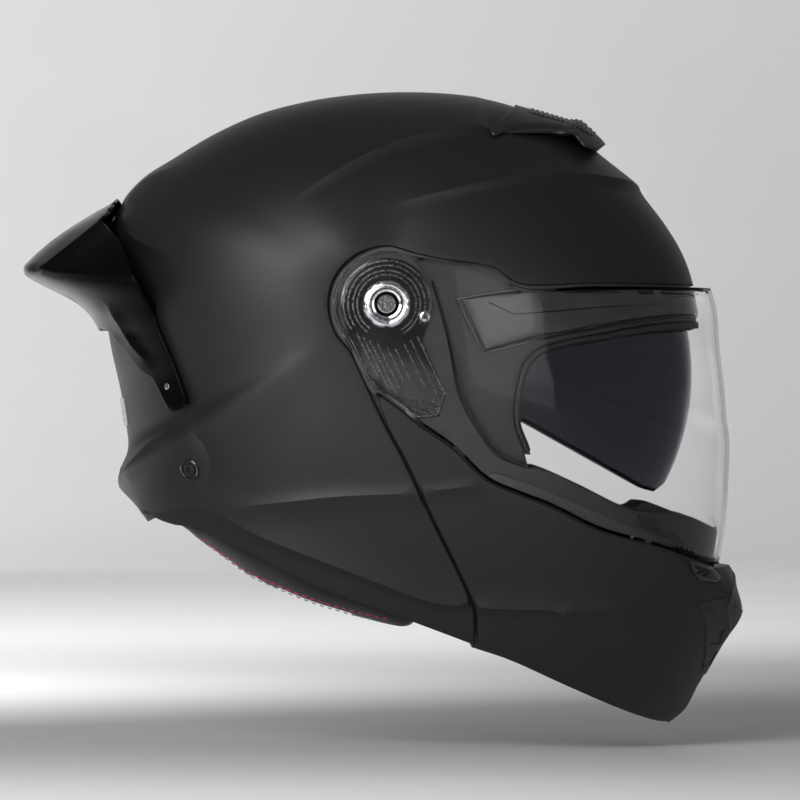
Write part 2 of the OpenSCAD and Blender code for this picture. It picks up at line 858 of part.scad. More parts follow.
// Foam inside the chin bar, cut out for the release button and its air way.
module chin_bar_liner() {
    color([0.2, 0.2, 0.21])
        difference() {
            skin_piece([[104, -130], [140, -142], [180, -163], [300, -163], [300, -212],
                        [135, -212], [104, -200]]) {
                skin(shift(chin_in_knots, -0.6), arm_in - 0.6, arm_in - 0.6, chin_side);
                skin(shift(chin_in_knots, -22), arm_in - 16, arm_in - 16, chin_side);
            }
            translate([140, 0, -210])
                cube([17, 27, 24], center = true);
            translate([160, 0, -184])
                cube([80, 48, 10], center = true);
        }
}

// Vent block on top of the chin bar, with three openings.
module chin_vent_insert() {
    color([0.09, 0.09, 0.095])
        difference() {
            skin_piece([[120, -109.5], [133, -110], [165, -114], [300, -114], [300, -124],
                        [120, -124]]) {
                skin(shift(chin_in_knots, -0.5), arm_in - 0.6, arm_in - 0.6, chin_side);
                skin([for (k = chin_in_knots) [k[0], sun_reach]], 118, 118, chin_side);
            }
            for (side = [-1, 1])
                translate([100, side * 245, -116])
                    cube([400, 400, 40], center = true);
            for (i = [-1:1])
                translate([158, i * 22, -110])
                    cube([22, 16, 16], center = true);
        }
}

// Mouth vent's grille, with two slots.
module chin_vent_grille() {
    color([0.05, 0.05, 0.055])
        difference() {
            skin_piece([[163, -160], [186, -163], [300, -163], [300, -199], [163, -199],
                        [168, -178]]) {
                skin(shift(body_knots, 2), shell_half_w + 2, shell_half_w + 2, chin_side);
                skin(shift(body_knots, 0.3), shell_half_w + 0.3, shell_half_w + 0.3, chin_side);
            }
            for (i = [0:1])
                translate([180, 0, -178 - 11 * i])
                    cube([60, 50, 5], center = true);
        }
}

// Curved fin that keeps breath off the visor.
module breath_deflector() {
    color([0.08, 0.08, 0.085])
        translate([60, 0, -110.2])
            rotate([0, 0, -38])
                rotate_extrude(angle = 76)
                    translate([92, 0])
                        square([1.5, 8.5]);
}

// Forks behind the chin bar's lower corners: each slides over its striker pin as the bar shuts.
module latch_forks() {
    color([0.7, 0.7, 0.72])
        both_sides()
            difference() {
                translate([82, 0, -150])
                    rotate([0, -29, 0])
                        difference() {
                            translate([5.2, 89.2, 0])
                                cube([14, 8, 15], center = true);
                            translate([-2, 91, 0])
                                cube([12, 20, 6.4], center = true);
                            translate([3.9, 91, 0])
                                rotate([90, 0, 0])
                                    cylinder(r = 3.2, h = 20, center = true);
                        }
                translate([58.9, 90, -150])
                    cube([40, 60, 60], center = true);
            }
}

// Plate over the arm, round the post.
module mechanism_plate(side) {
    color([0.07, 0.07, 0.08])
        difference() {
            pin(0, 0, plate_r, plate_in, plate_out, side);
            pin(0, 0, hub_r + run_fit, 60, 200, side);
            pin(20, -6.5, 3.1, 60, 200, side);
        }
}

module mechanism_plate_right() {
    mechanism_plate(-1);
}

module mechanism_plate_left() {
    mechanism_plate(1);
}

// Screws of the mechanism plates.
module plate_screws() {
    color([0.75, 0.75, 0.77])
        both_sides()
            difference() {
                pin(20, -6.5, 3, arm_out - 0.2, plate_out);
                pin(20, -6.5, 1.2, plate_out - 0.6, plate_out + 1);
            }
}

// Button under the chin that frees the chin bar.
module release_button() {
    color([0.6, 0.1, 0.1])
        translate([140, 0, -212])
            cube([15.8, 25.8, 8], center = true);
}

// Clear visor with its round arms.
module visor() {
    color([0.8, 0.85, 0.9, 0.25])
        difference() {
            resize([0, 0, 0])
                intersection() {
                    difference() {
                        skin(visor_knots, visor_out, visor_out, front_side, 24);
                        skin(shift(visor_knots, -visor_t), visor_in, visor_in, front_side, 24);
                    }
                    arm_prism(visor_outline, visor_arm_r);
                }
            both_sides()
                pin(0, 0, ring_r + run_fit, 60, 200);
        }
}

// Finger tab at the visor's lower right corner.
module visor_tab() {
    color([0.05, 0.05, 0.055])
        resize([0, 0, 0])
            difference() {
                intersection() {
                    skin(shift(body_knots, 5), shell_half_w + 5, shell_half_w + 5, chin_side);
                    prism([[158, -128], [161, -137], [164, -143], [167, -146.5], [176, -147],
                           [179, -144], [176, -140], [172, -134], [168, -128]]);
                }
                skin(shift(body_knots, 0.8), shell_half_w + 0.8, shell_half_w + 0.8, chin_side);
                skin(shift(visor_knots, 0.2), visor_out + 0.2, visor_out + 0.2, front_side, 24);
                translate([0, big / 2, 0])
                    cube([big, big, big], center = true);
            }
}

outer_shell();
eyeport_seal();
rear_spoiler();
spoiler_screws();
rear_vent();
side_screws();
top_vent_housing();
top_vent_slider();
eps_crown();
eps_brow();
eps_back();
eps_side_right();
eps_side_left();
crown_pad();
brow_pad();
nape_pad();
cheek_pad_right();
cheek_pad_left();
neck_roll();
pivot_hubs();
pivot_rings();
pivot_screws();
latch_strikers();
sun_visor_pins();
sun_visor();
sun_lever_track();
sun_lever();
strap_right();
strap_left();
strap_rivets();
buckle_socket();
buckle_tongue();
buckle_lever();
chin_bar_shell();
chin_bar_liner();
visor_rest_seal();
chin_vent_insert();
chin_vent_grille();
breath_deflector();
latch_forks();
mechanism_plate_right();
mechanism_plate_left();
plate_screws();
release_button();
visor();
visor_tab();
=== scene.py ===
"""Flip-up motorcycle helmet: the finished looks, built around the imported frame.

Shell pieces are curved panels cut from closed skins. A skin wraps the sideways axis of the
helmet: its side outline gives the reach at each angle, and its half width gives the section.
Sizes are in millimetres, in the same frame as the solids, and meshes are in metres.
"""

from __future__ import annotations

import json
import logging
import math
from dataclasses import dataclass
from enum import Enum
from typing import Callable, Iterable, Sequence

import bmesh
import bpy
import numpy as np
from mathutils import Matrix, Vector
from mathutils.geometry import delaunay_2d_cdt
from mathutils.kdtree import KDTree

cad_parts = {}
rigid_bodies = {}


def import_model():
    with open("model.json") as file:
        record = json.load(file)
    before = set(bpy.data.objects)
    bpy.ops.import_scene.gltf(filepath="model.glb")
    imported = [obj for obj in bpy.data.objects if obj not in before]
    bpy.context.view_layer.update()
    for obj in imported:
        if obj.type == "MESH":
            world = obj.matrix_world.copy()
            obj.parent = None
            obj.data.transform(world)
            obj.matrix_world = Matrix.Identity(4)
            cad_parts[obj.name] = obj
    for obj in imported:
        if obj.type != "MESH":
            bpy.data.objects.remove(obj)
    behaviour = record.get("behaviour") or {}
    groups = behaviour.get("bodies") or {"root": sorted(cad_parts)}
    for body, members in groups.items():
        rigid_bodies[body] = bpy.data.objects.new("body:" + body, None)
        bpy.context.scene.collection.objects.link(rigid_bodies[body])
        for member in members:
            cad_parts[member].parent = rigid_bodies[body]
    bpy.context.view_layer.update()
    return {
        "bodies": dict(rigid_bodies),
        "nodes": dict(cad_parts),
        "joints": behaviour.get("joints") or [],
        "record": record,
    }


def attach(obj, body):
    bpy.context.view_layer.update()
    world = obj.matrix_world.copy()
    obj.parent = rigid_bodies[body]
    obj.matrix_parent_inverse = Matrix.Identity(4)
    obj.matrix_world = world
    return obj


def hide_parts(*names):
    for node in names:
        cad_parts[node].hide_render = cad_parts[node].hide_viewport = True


log = logging.getLogger("helmet")

MM = 0.001
TINY = 1e-9
BULK = 2.2  # squareness of the skins' cross sections, 2 being an ellipse
CHART_SCALE = 2.6  # chart millimetres per degree round from the skin's side
RIM = 89.9  # degrees round from which a chart point counts as on the middle line
PAST_RIM = 1.5  # how far out beyond() puts its corner, in reaches of the rim point
MERGE = 0.02  # distance within which a piece's two halves are joined
PAD_MERGE = 0.03  # the same for the pads, where face and back meet in the seam
CREASE_ROWS = (0.0, 0.45, -0.45, 1.1, -1.1)  # rows of points along a crease, in pitches
Point = tuple[float, float]
Line = list[Point]


class Side(Enum):
    """Which sides of the helmet a panel is made on."""

    BOTH = "both"
    RIGHT = "right"
    LEFT = "left"

    @property
    def signs(self) -> tuple[int, ...]:
        """Signs of Y on these sides, -1 for the right."""
        return {Side.BOTH: (-1, 1), Side.RIGHT: (-1,), Side.LEFT: (1,)}[self]


def smooth_step(t: np.ndarray) -> np.ndarray:
    """Returns the smooth step of t, held between 0 and 1."""
    u = np.clip(t, 0.0, 1.0)
    return u * u * (3.0 - 2.0 * u)


def cubic(t: np.ndarray, start: np.ndarray, end: np.ndarray, leave: np.ndarray,
          arrive: np.ndarray) -> np.ndarray:
    """Returns the cubic at t, from start to end, with the slopes leave and arrive."""
    return ((2 * t**3 - 3 * t**2 + 1) * start + (t**3 - 2 * t**2 + t) * leave
            + (3 * t**2 - 2 * t**3) * end + (t**3 - t**2) * arrive)


def unit(rows: np.ndarray) -> np.ndarray:
    """Returns rows scaled to a length of 1."""
    return rows / np.maximum(np.linalg.norm(rows, axis=1, keepdims=True), TINY)


def tilt(chart: np.ndarray) -> np.ndarray:
    """Returns how far round from the side each chart point is, in degrees."""
    return np.hypot(chart[:, 0], chart[:, 1]) / CHART_SCALE


def gaps_to(points: np.ndarray, others: np.ndarray) -> np.ndarray:
    """Returns each chart point's distance from the nearest of the others."""
    tree = KDTree(len(others))
    for i, (x, y) in enumerate(others):
        tree.insert((x, y, 0), i)
    tree.balance()
    return np.array([tree.find((x, y, 0))[2] for x, y in points])


def flowing(points: Sequence[tuple], closed: bool = True, pitch: float = 1.6) -> np.ndarray:
    """Draws a smooth line through points.

    Args:
        points: The points as (x, z), or (x, z, 1) for a point that stays a sharp corner.
        closed: Whether the line goes back to its first point.
        pitch: The distance between the line's points, in millimetres.

    Returns:
        The line's points, as rows of x and z.
    """
    p = np.array([q[:2] for q in points], float)
    sharp = [len(q) > 2 for q in points]
    n = len(p)
    out: list[np.ndarray] = []
    for i in range(n if closed else n - 1):
        a, b = p[i], p[(i + 1) % n]
        length = float(np.linalg.norm(b - a))
        chord = (b - a) / max(length, TINY)

        def heading(k: int) -> np.ndarray:
            """Returns the line's direction at point k."""
            if sharp[k % n] or (not closed and k % n in (0, n - 1)):
                return chord
            d = p[(k + 1) % n] - p[(k - 1) % n]
            return d / max(float(np.linalg.norm(d)), TINY)

        steps = max(1, int(math.ceil(length / pitch)))
        t = (np.arange(steps) / steps)[:, None]
        out.append(cubic(t, a, b, heading(i) * length, heading(i + 1) * length))
    if not closed:
        out.append(p[-1:])
    return np.vstack(out)


def arc(cx: float, cz: float, r: float, start: float, end: float, steps: int = 10) -> Line:
    """Returns points on an arc from angle start to end, in degrees, both ends included."""
    turn = [math.radians(start + (end - start) * i / steps) for i in range(steps + 1)]
    return [(cx + r * math.cos(a), cz + r * math.sin(a)) for a in turn]


def inside(points: np.ndarray, loop: np.ndarray) -> np.ndarray:
    """Returns, for each point, whether it lies inside the closed loop."""
    x, y = points[:, 0][:, None], points[:, 1][:, None]
    x0, y0 = loop[:, 0][None, :], loop[:, 1][None, :]
    x1, y1 = np.roll(loop[:, 0], -1)[None, :], np.roll(loop[:, 1], -1)[None, :]
    result = np.zeros(len(points), bool)
    batch = 4000
    for first in range(0, len(points), batch):
        e = slice(first, first + batch)
        crosses = (y0 > y[e]) != (y1 > y[e])
        at = x0 + (y[e] - y0) * (x1 - x0) / np.where(y1 == y0, 1e-12, y1 - y0)
        result[e] = (crosses & (x[e] < at)).sum(1) % 2 == 1
    return result


@dataclass(frozen=True)
class Skin:
    """Closed skin around a sideways axis.

    Attributes:
        knots: (angle, radius) pairs of the side outline, from 0 to 360 degrees.
        low: Half width of the skin.
        high: Half width over the raised rear sides, or low where there are none.
        bulk: Squareness of the cross sections.
        centre: Where the axis is, as x and z.
    """

    knots: tuple[Point, ...]
    low: float
    high: float
    bulk: float = BULK
    centre: Point = (0.0, 0.0)

    def grown(self, reach: float, width: float | None = None) -> "Skin":
        """Returns this skin with its outline moved out by reach and its sides by width."""
        w = reach if width is None else width
        knots = tuple((a, r + reach) for a, r in self.knots)
        return Skin(knots, self.low + w, self.high + w, self.bulk, self.centre)

    def radius(self, angle: np.ndarray) -> np.ndarray:
        """Returns the side outline's radius at each angle, in degrees."""
        a = np.array([k[0] for k in self.knots], float)
        r = np.array([k[1] for k in self.knots], float)
        before_a = np.concatenate([[a[-2] - 360], a[:-1]])
        before_r = np.concatenate([[r[-2]], r[:-1]])
        after_a = np.concatenate([a[1:], [a[1] + 360]])
        after_r = np.concatenate([r[1:], [r[1]]])
        slope = (after_r - before_r) / (after_a - before_a)
        ang = np.mod(angle, 360.0)
        i = np.clip(np.searchsorted(a, ang, "right") - 1, 0, len(a) - 2)
        h = a[i + 1] - a[i]
        t = (ang - a[i]) / h
        return cubic(t, r[i], r[i + 1], slope[i] * h, slope[i + 1] * h)

    def half_width(self, angle: np.ndarray, share: np.ndarray) -> np.ndarray:
        """Returns the half width at each angle, share being the share of the radius."""
        ang = np.mod(angle, 360.0)
        raised = smooth_step((ang - 75) / 60) * (1 - smooth_step((ang - 284) / 12))
        return self.low + (self.high - self.low) * raised * smooth_step(share / 0.4)

    def points(self, chart: np.ndarray) -> np.ndarray:
        """Returns the surface points, on the +Y side, of rows of chart coordinates."""
        deg = chart / CHART_SCALE
        angle = np.degrees(np.arctan2(deg[:, 1], deg[:, 0]))
        turn = np.radians(np.hypot(deg[:, 0], deg[:, 1]))
        share = np.abs(np.sin(turn)) ** (2 / self.bulk)
        reach = self.radius(angle) * share
        side = np.sign(np.cos(turn)) * np.abs(np.cos(turn)) ** (2 / self.bulk)
        rad = np.radians(angle)
        return np.stack([
            self.centre[0] + reach * np.cos(rad),
            self.half_width(angle, share) * side,
            self.centre[1] + reach * np.sin(rad)], 1)

    def chart(self, outline: np.ndarray) -> np.ndarray:
        """Returns chart coordinates of side view points; those outside go to the middle line."""
        d = np.asarray(outline, float)[:, :2] - np.array(self.centre)
        angle = np.degrees(np.arctan2(d[:, 1], d[:, 0]))
        share = np.minimum(np.hypot(d[:, 0], d[:, 1]) / self.radius(angle), 1.0)
        turn = np.degrees(np.arcsin(share ** (self.bulk / 2))) * CHART_SCALE
        rad = np.radians(angle)
        return np.stack([turn * np.cos(rad), turn * np.sin(rad)], 1)

    def normals(self, chart: np.ndarray) -> np.ndarray:
        """Returns outward unit normals, on the +Y side, at chart coordinates."""
        e = 0.05
        da = self.points(chart + [e, 0]) - self.points(chart - [e, 0])
        db = self.points(chart + [0, e]) - self.points(chart - [0, e])
        return unit(np.cross(db, da))

    def place(self, x: float, z: float, side: int = -1, out: float = 0.0) -> Matrix:
        """Returns the placing, in metres, of a fitting on the skin with its +Z outwards.

        Args:
            x: How far forward the fitting sits.
            z: How high the fitting sits.
            side: -1 for the right side and 1 for the left.
            out: How far the fitting stands off the skin.
        """
        c = self.chart(np.array([[x, z]]))
        p, n = self.points(c)[0], self.normals(c)[0]
        p, n = p * [1, side, 1], n * [1, side, 1]
        turn = Vector((0, 0, 1)).rotation_difference(Vector(n)).to_matrix().to_4x4()
        return Matrix.Translation(Vector((p + n * out) * MM)) @ turn


@dataclass(frozen=True)
class Crease:
    """Ridge or valley pressed into a panel along a line.

    Attributes:
        line: The line's points, as x and z.
        lift: Height at the line, negative for a valley.
        near: Reach of the slope on the line's left.
        far: Reach of the slope on the line's right.
        fade: Share of the line over which it fades out at its start and at its end.
    """

    line: tuple[Point, ...]
    lift: float
    near: float
    far: float
    fade: Point = (0.2, 0.2)

    def drawn(self) -> np.ndarray:
        """Returns the smooth line's points."""
        return flowing(self.line, closed=False, pitch=3.0)

    def heights(self, xz: np.ndarray) -> np.ndarray:
        """Returns the height that the crease adds at each side view point."""
        line = self.drawn()
        a, b = line[:-1], line[1:]
        d = b - a
        length = np.linalg.norm(d, axis=1)
        start = np.concatenate([[0], np.cumsum(length)[:-1]])
        best = np.full(len(xz), 1e9)
        signed = np.zeros(len(xz))
        along = np.zeros(len(xz))
        for i in range(len(d)):
            v = xz - a[i]
            t = np.clip((v @ d[i]) / length[i] ** 2, 0, 1)
            off = v - t[:, None] * d[i]
            dist = np.hypot(off[:, 0], off[:, 1])
            nearer = dist < best - 1e-9
            cross = d[i, 0] * v[:, 1] - d[i, 1] * v[:, 0]
            best = np.where(nearer, dist, best)
            signed = np.where(nearer, np.sign(cross) * dist, signed)
            along = np.where(nearer, (start[i] + t * length[i]) / length.sum(), along)
        reach = np.where(signed > 0, self.near, self.far)
        shape = np.clip(1 - best / reach, 0, 1) ** 2
        ends = smooth_step(along / max(self.fade[0], 1e-3)) if self.fade[0] else 1.0
        ends = ends * (smooth_step((1 - along) / self.fade[1]) if self.fade[1] else 1.0)
        return self.lift * shape * ends


def from_rows(name: str, verts: np.ndarray, faces: Iterable[Sequence[int]]) -> bpy.types.Object:
    """Makes a mesh object from points in millimetres and faces, smooth all over."""
    mesh = bpy.data.meshes.new(name)
    mesh.from_pydata((np.asarray(verts) * MM).tolist(), [], [tuple(f) for f in faces])
    mesh.validate()
    obj = bpy.data.objects.new(name, mesh)
    bpy.context.scene.collection.objects.link(obj)
    mesh.shade_smooth()
    return obj


def repaired(obj: bpy.types.Object, merge: float = 0.0, outward: bool = True
             ) -> bpy.types.Object:
    """Cleans up a piece's mesh, and drops points that no face uses.

    Args:
        obj: The piece.
        merge: Distance within which points are merged, in millimetres.
        outward: Whether its faces are turned to face outwards.

    Returns:
        The piece.
    """
    bm = bmesh.new()
    bm.from_mesh(obj.data)
    if merge > 0:
        bmesh.ops.remove_doubles(bm, verts=bm.verts, dist=merge * MM)
    loose = [v for v in bm.verts if not v.link_faces]
    bmesh.ops.delete(bm, geom=loose, context="VERTS")
    if outward:
        bmesh.ops.recalc_face_normals(bm, faces=bm.faces)
    bm.to_mesh(obj.data)
    bm.free()
    return obj


def tube(rows: int, steps: int, base: int = 0, turned: bool = False) -> list[tuple[int, ...]]:
    """Returns the faces of a tube made of rings of points.

    Args:
        rows: Count of rings.
        steps: Points in a ring.
        base: Number of the first ring's first point.
        turned: Whether the faces are turned over.

    Returns:
        The faces round the tube, then its first end, then its last end.
    """
    faces = [(k * steps + i, k * steps + (i + 1) % steps, (k + 1) * steps + (i + 1) % steps,
              (k + 1) * steps + i) for k in range(rows - 1) for i in range(steps)]
    faces += [tuple(range(steps))[::-1], tuple(range((rows - 1) * steps, rows * steps))]
    shifted = [tuple(base + q for q in face) for face in faces]
    return [face[::-1] for face in shifted] if turned else shifted


def only(obj: bpy.types.Object) -> bpy.types.Object:
    """Deselects everything, then selects obj and makes it active."""
    if bpy.context.object and bpy.context.object.mode != "OBJECT":
        bpy.ops.object.mode_set(mode="OBJECT")
    bpy.ops.object.select_all(action="DESELECT")
    obj.select_set(True)
    bpy.context.view_layer.objects.active = obj
    return obj


def finish_with(obj: bpy.types.Object, kind: str, **settings: object) -> bpy.types.Object:
    """Adds a modifier of that kind with these settings to obj and applies it."""
    only(obj)
    mod = obj.modifiers.new(kind.lower(), kind)
    for key, value in settings.items():
        setattr(mod, key, value)
    bpy.ops.object.modifier_apply(modifier=mod.name)
    return obj


def smooth_by_angle(obj: bpy.types.Object, degrees: float = 35.0) -> bpy.types.Object:
    """Shades obj smooth except across edges sharper than that."""
    only(obj)
    bpy.ops.object.shade_smooth_by_angle(angle=math.radians(degrees))
    return obj


@dataclass
class Panel:
    """Curved panel cut from a skin by a side view outline.

    Attributes:
        name: Name of the piece.
        skin: The skin the panel lies on.
        outline: The outline's points, as flowing() takes them.
        holes: Outlines of holes.
        creases: Ridges and valleys pressed into the panel.
        relief: Extra height at side view points, or None.
        roll: Radius of the rounded edge.
        thickness: Thickness, inwards, or 0 for an open sheet.
        pitch: Distance between the mesh's points.
        side: Which sides it is made on.
    """

    name: str
    skin: Skin
    outline: Sequence[tuple]
    holes: Sequence[Sequence[tuple]] = ()
    creases: Sequence[Crease] = ()
    relief: Callable[[np.ndarray], np.ndarray] | None = None
    roll: float = 1.0
    thickness: float = 3.0
    pitch: float = 3.2
    side: Side = Side.BOTH

    def edge_rows(self, loop: np.ndarray, inward: float) -> tuple[list, list]:
        """Returns rows of points that round the edge, as chart points and their drops."""
        rows, drops = [loop], [np.full(len(loop), self.roll)]
        middle = tilt(loop) >= RIM
        drops[0][middle] = 0.0
        if self.roll <= 0:
            return rows, [np.zeros(len(loop))]
        d = unit(np.roll(loop, -1, 0) - np.roll(loop, 1, 0))
        normal = np.stack([-d[:, 1], d[:, 0]], 1) * inward
        for share in (0.3, 0.65, 1.0):
            row = loop + normal * self.roll * share
            keep = ~middle & (tilt(row) < RIM - 0.3)
            keep &= inside(row, loop) == (inward * self.turning(loop) > 0)
            gap = 1.0 - share
            rows.append(row[keep])
            drops.append(np.full(keep.sum(), self.roll * (1 - math.sqrt(1 - gap * gap))))
        return rows, drops

    @staticmethod
    def turning(loop: np.ndarray) -> float:
        """Returns 1 for a loop that runs anticlockwise and -1 for one that doesn't."""
        x, y = loop[:, 0], loop[:, 1]
        return 1.0 if (x * np.roll(y, -1) - np.roll(x, -1) * y).sum() > 0 else -1.0

    def charted(self, outline: Sequence[tuple]) -> np.ndarray:
        """Returns an outline as a loop of evenly spaced chart points."""
        loop = self.skin.chart(flowing(outline, pitch=1.0))
        gaps = np.linalg.norm(np.roll(loop, -1, 0) - loop, axis=1)
        keep, travelled = [0], 0.0
        for i in range(1, len(loop)):
            travelled += gaps[i - 1]
            if travelled >= self.pitch * 0.5:
                keep.append(i)
                travelled = 0.0
        return loop[keep]

    def crease_rows(self, crease: Crease, loops: Sequence[np.ndarray]
                    ) -> Iterable[tuple[np.ndarray, np.ndarray]]:
        """Yields rows of chart points along a crease, clear of the panel's edges.

        Args:
            crease: The crease.
            loops: The outline and the holes, as chart points.

        Yields:
            A row, and the numbers of its points that an edge joins to the next point.
        """
        line = self.skin.chart(crease.drawn())
        d = np.gradient(line, axis=0)
        across = unit(np.stack([-d[:, 1], d[:, 0]], 1))
        for off in CREASE_ROWS:
            row = line + across * off * self.pitch
            clear = inside(row, loops[0])
            for loop in loops:
                gap = np.linalg.norm(row[:, None] - loop[None], axis=2).min(1)
                clear &= gap > self.pitch * 0.6 + self.roll
            steps = np.diff(np.flatnonzero(clear))
            yield row[clear], np.flatnonzero(steps == 1) if off == 0 else steps[:0]

    @staticmethod
    def covered(points: np.ndarray, loops: Sequence[np.ndarray]) -> np.ndarray:
        """Returns whether each point is in the first loop and in none of the others."""
        keep = inside(points, loops[0])
        for hole in loops[1:]:
            keep &= ~inside(points, hole)
        return keep

    def grid(self, loops: Sequence[np.ndarray]) -> np.ndarray:
        """Returns chart points in even triangles, all over the panel."""
        low, high = loops[0].min(0), loops[0].max(0)
        gx, gy = np.meshgrid(
            np.arange(low[0], high[0], self.pitch),
            np.arange(low[1], high[1], self.pitch * 0.866))
        gx = gx + (np.arange(gx.shape[0]) % 2)[:, None] * self.pitch / 2
        points = np.stack([gx.ravel(), gy.ravel()], 1)
        points = points[tilt(points) < RIM - 0.4]
        return points[self.covered(points, loops)]

    def build(self) -> bpy.types.Object:
        """Returns the finished mesh object."""
        loops = [self.charted(line) for line in (self.outline, *self.holes)]
        coords: list[np.ndarray] = []
        drops: list[np.ndarray] = []
        edges: list[tuple[int, int]] = []
        count = 0
        for k, loop in enumerate(loops):
            inward = self.turning(loop) * (1.0 if k == 0 else -1.0)
            rows, falls = self.edge_rows(loop, inward)
            edges += [(count + i, count + (i + 1) % len(loop)) for i in range(len(loop))]
            coords += rows
            drops += falls
            count += sum(len(r) for r in rows)
        for crease in self.creases:
            for row, joins in self.crease_rows(crease, loops):
                coords.append(row)
                drops.append(np.zeros(len(row)))
                edges += [(count + int(i), count + int(i) + 1) for i in joins]
                count += len(row)
        fixed = np.vstack(coords)
        grid = self.grid(loops)
        grid = grid[gaps_to(grid, fixed) > self.pitch * 0.55]
        drop = np.concatenate(drops + [np.zeros(len(grid))])
        flat, _, faces, origin, _, _ = delaunay_2d_cdt(
            [Vector(c) for c in np.vstack([fixed, grid])], edges, [], 0, 1e-5)
        chart = np.array([tuple(v) for v in flat])
        fall = np.array([drop[o[0]] if o else 0.0 for o in origin])
        tri = np.array([f for f in faces if len(f) == 3])
        return self.wrap(chart, fall, tri[self.covered(chart[tri].mean(1), loops)])

    def laid(self, chart: np.ndarray) -> tuple[np.ndarray, np.ndarray, np.ndarray]:
        """Returns chart points on the skin, their normals and which are on the middle line."""
        base, normal = self.skin.points(chart), self.skin.normals(chart)
        rim = tilt(chart) > RIM
        normal[rim, 1] = 0
        normal[rim] = unit(normal[rim])
        return base, normal, rim

    def wrap(self, chart: np.ndarray, fall: np.ndarray, tri: np.ndarray) -> bpy.types.Object:
        """Returns the mesh of chart triangles laid on the skin, on the asked sides.

        Args:
            chart: The chart points.
            fall: How far each point drops below the skin.
            tri: The triangles, anticlockwise in the chart.
        """
        base, normal, rim = self.laid(chart)
        height = -fall
        xz = base[:, [0, 2]]
        for crease in self.creases:
            height = height + crease.heights(xz)
        if self.relief is not None:
            height = height + self.relief(xz)
        base = base + normal * height[:, None]
        base[rim, 1] = 0
        verts = np.vstack([base * [1, sign, 1] for sign in self.side.signs])
        faces = np.vstack([(tri if sign < 0 else tri[:, ::-1]) + k * len(base)
                           for k, sign in enumerate(self.side.signs)])
        obj = repaired(from_rows(self.name, verts, faces), MERGE, outward=False)
        if self.thickness > 0:
            finish_with(obj, "SOLIDIFY", thickness=self.thickness * MM, offset=-1.0,
                        use_rim=True)
        return obj


@dataclass
class Pillow(Panel):
    """Closed pad with a crowned face and back, lying on a skin.

    Attributes:
        depth: Thickness in the middle.
        edge: Distance over which the pad rounds down to its seam.
        folds: Depth of the soft creases over its cloth.
        seed: Start of the pad's own fold pattern.
    """

    depth: float = 10.0
    edge: float = 14.0
    folds: float = 0.5
    seed: float = 0.0

    def wrap(self, chart: np.ndarray, fall: np.ndarray, tri: np.ndarray) -> bpy.types.Object:
        """Returns the closed pad of chart triangles laid on the skin.

        Args:
            chart: The chart points.
            fall: Not used, because a pad's edge is its seam.
            tri: The triangles, anticlockwise in the chart.
        """
        loop = self.charted(self.outline)
        t = np.clip(gaps_to(chart, loop[tilt(loop) < RIM - 0.1]) / self.edge, 0, 1)
        puff = np.sqrt(np.maximum(1 - (1 - t) ** 2, 0)) * (0.88 + 0.12 * smooth_step(t * 0.6))
        base, normal, rim = self.laid(chart)
        # Soft folds: a broad quilted wave, and a weaker slanting one over it.
        u, v = chart[:, 0], chart[:, 1]
        wave = np.sin(u * 0.23 + self.seed) * np.sin(v * 0.19 - self.seed)
        wave += 0.6 * np.sin(u * 0.11 - v * 0.31 + 2 * self.seed)
        lift = puff * (self.depth / 2 + self.folds * wave * t)
        sheets = []
        for sign in (1.0, -1.0):
            p = base + normal * (sign * lift)[:, None]
            p[rim, 1] = 0
            sheets.append(p)
        n = len(base)
        turned = tri[:, ::-1]
        verts: list[np.ndarray] = []
        faces: list[np.ndarray] = []
        for sign in self.side.signs:
            front, back = (tri, turned) if sign < 0 else (turned, tri)
            first = n * len(verts)
            verts += [sheet * [1, sign, 1] for sheet in sheets]
            faces += [front + first, back + first + n]
        obj = from_rows(self.name, np.vstack(verts), np.vstack(faces))
        return repaired(obj, PAD_MERGE, outward=False)


# Half widths of the shell in front and behind, the sunk recess, the arms and the visor.
SWING_W, SIDE_W, LOW_W = 120.5, 126.0, 119.0
ARM_W, VISOR_W = 122.8, 126.9
BODY = Skin((
    (0, 168), (10, 162), (24, 149.5), (36, 141), (49, 133), (61, 126), (74, 119.5), (87, 116),
    (100, 116), (113, 119.5), (124, 125), (134, 131), (144, 139), (153, 149), (160, 154),
    (170, 154), (180, 152), (188, 150.5), (197, 150.5), (205, 155), (209, 160), (213, 173),
    (229, 187), (250, 225), (270, 250), (285, 263), (298, 273), (303, 271), (306.5, 270),
    (309.5, 264), (315, 256), (319.4, 252), (321.2, 242.5), (324.3, 223), (326, 216),
    (335, 195), (348, 176), (360, 168)), SWING_W, SIDE_W)
LOW = Skin((
    *[(a, r - (2 if a < 40 else 0.6)) for a, r in BODY.knots if a < 240],
    (250, 223), (268, 240), (285, 250), (300, 240), (315, 215), (330, 190), (345, 173),
    (360, 166)), LOW_W, LOW_W)
CHIN = Skin(BODY.knots, SIDE_W, SIDE_W)
CHIN_INNER = Skin((
    (0, 168), (90, 160), (180, 160), (250, 215), (270, 240),
    *[(a, r - 4) for a, r in BODY.knots if 280 < a < 314],
    (315, 251), (318, 241), (320, 230), (322, 220), (324.3, 213), (329.6, 203), (335, 193),
    (348, 174), (360, 168)), 121.1, 121.1)
VISOR = Skin((
    (0, 177.5), (5, 174), (30, 172), (90, 170), (180, 170), (250, 215), (290, 262),
    (310, 250), (324.5, 222), (329.6, 212.5), (333.4, 206), (339.5, 197), (342, 192.5),
    (352, 181.5), (360, 177.5)), VISOR_W, VISOR_W)
LEDGE = Skin(VISOR.grown(-4.0).knots, ARM_W, ARM_W)
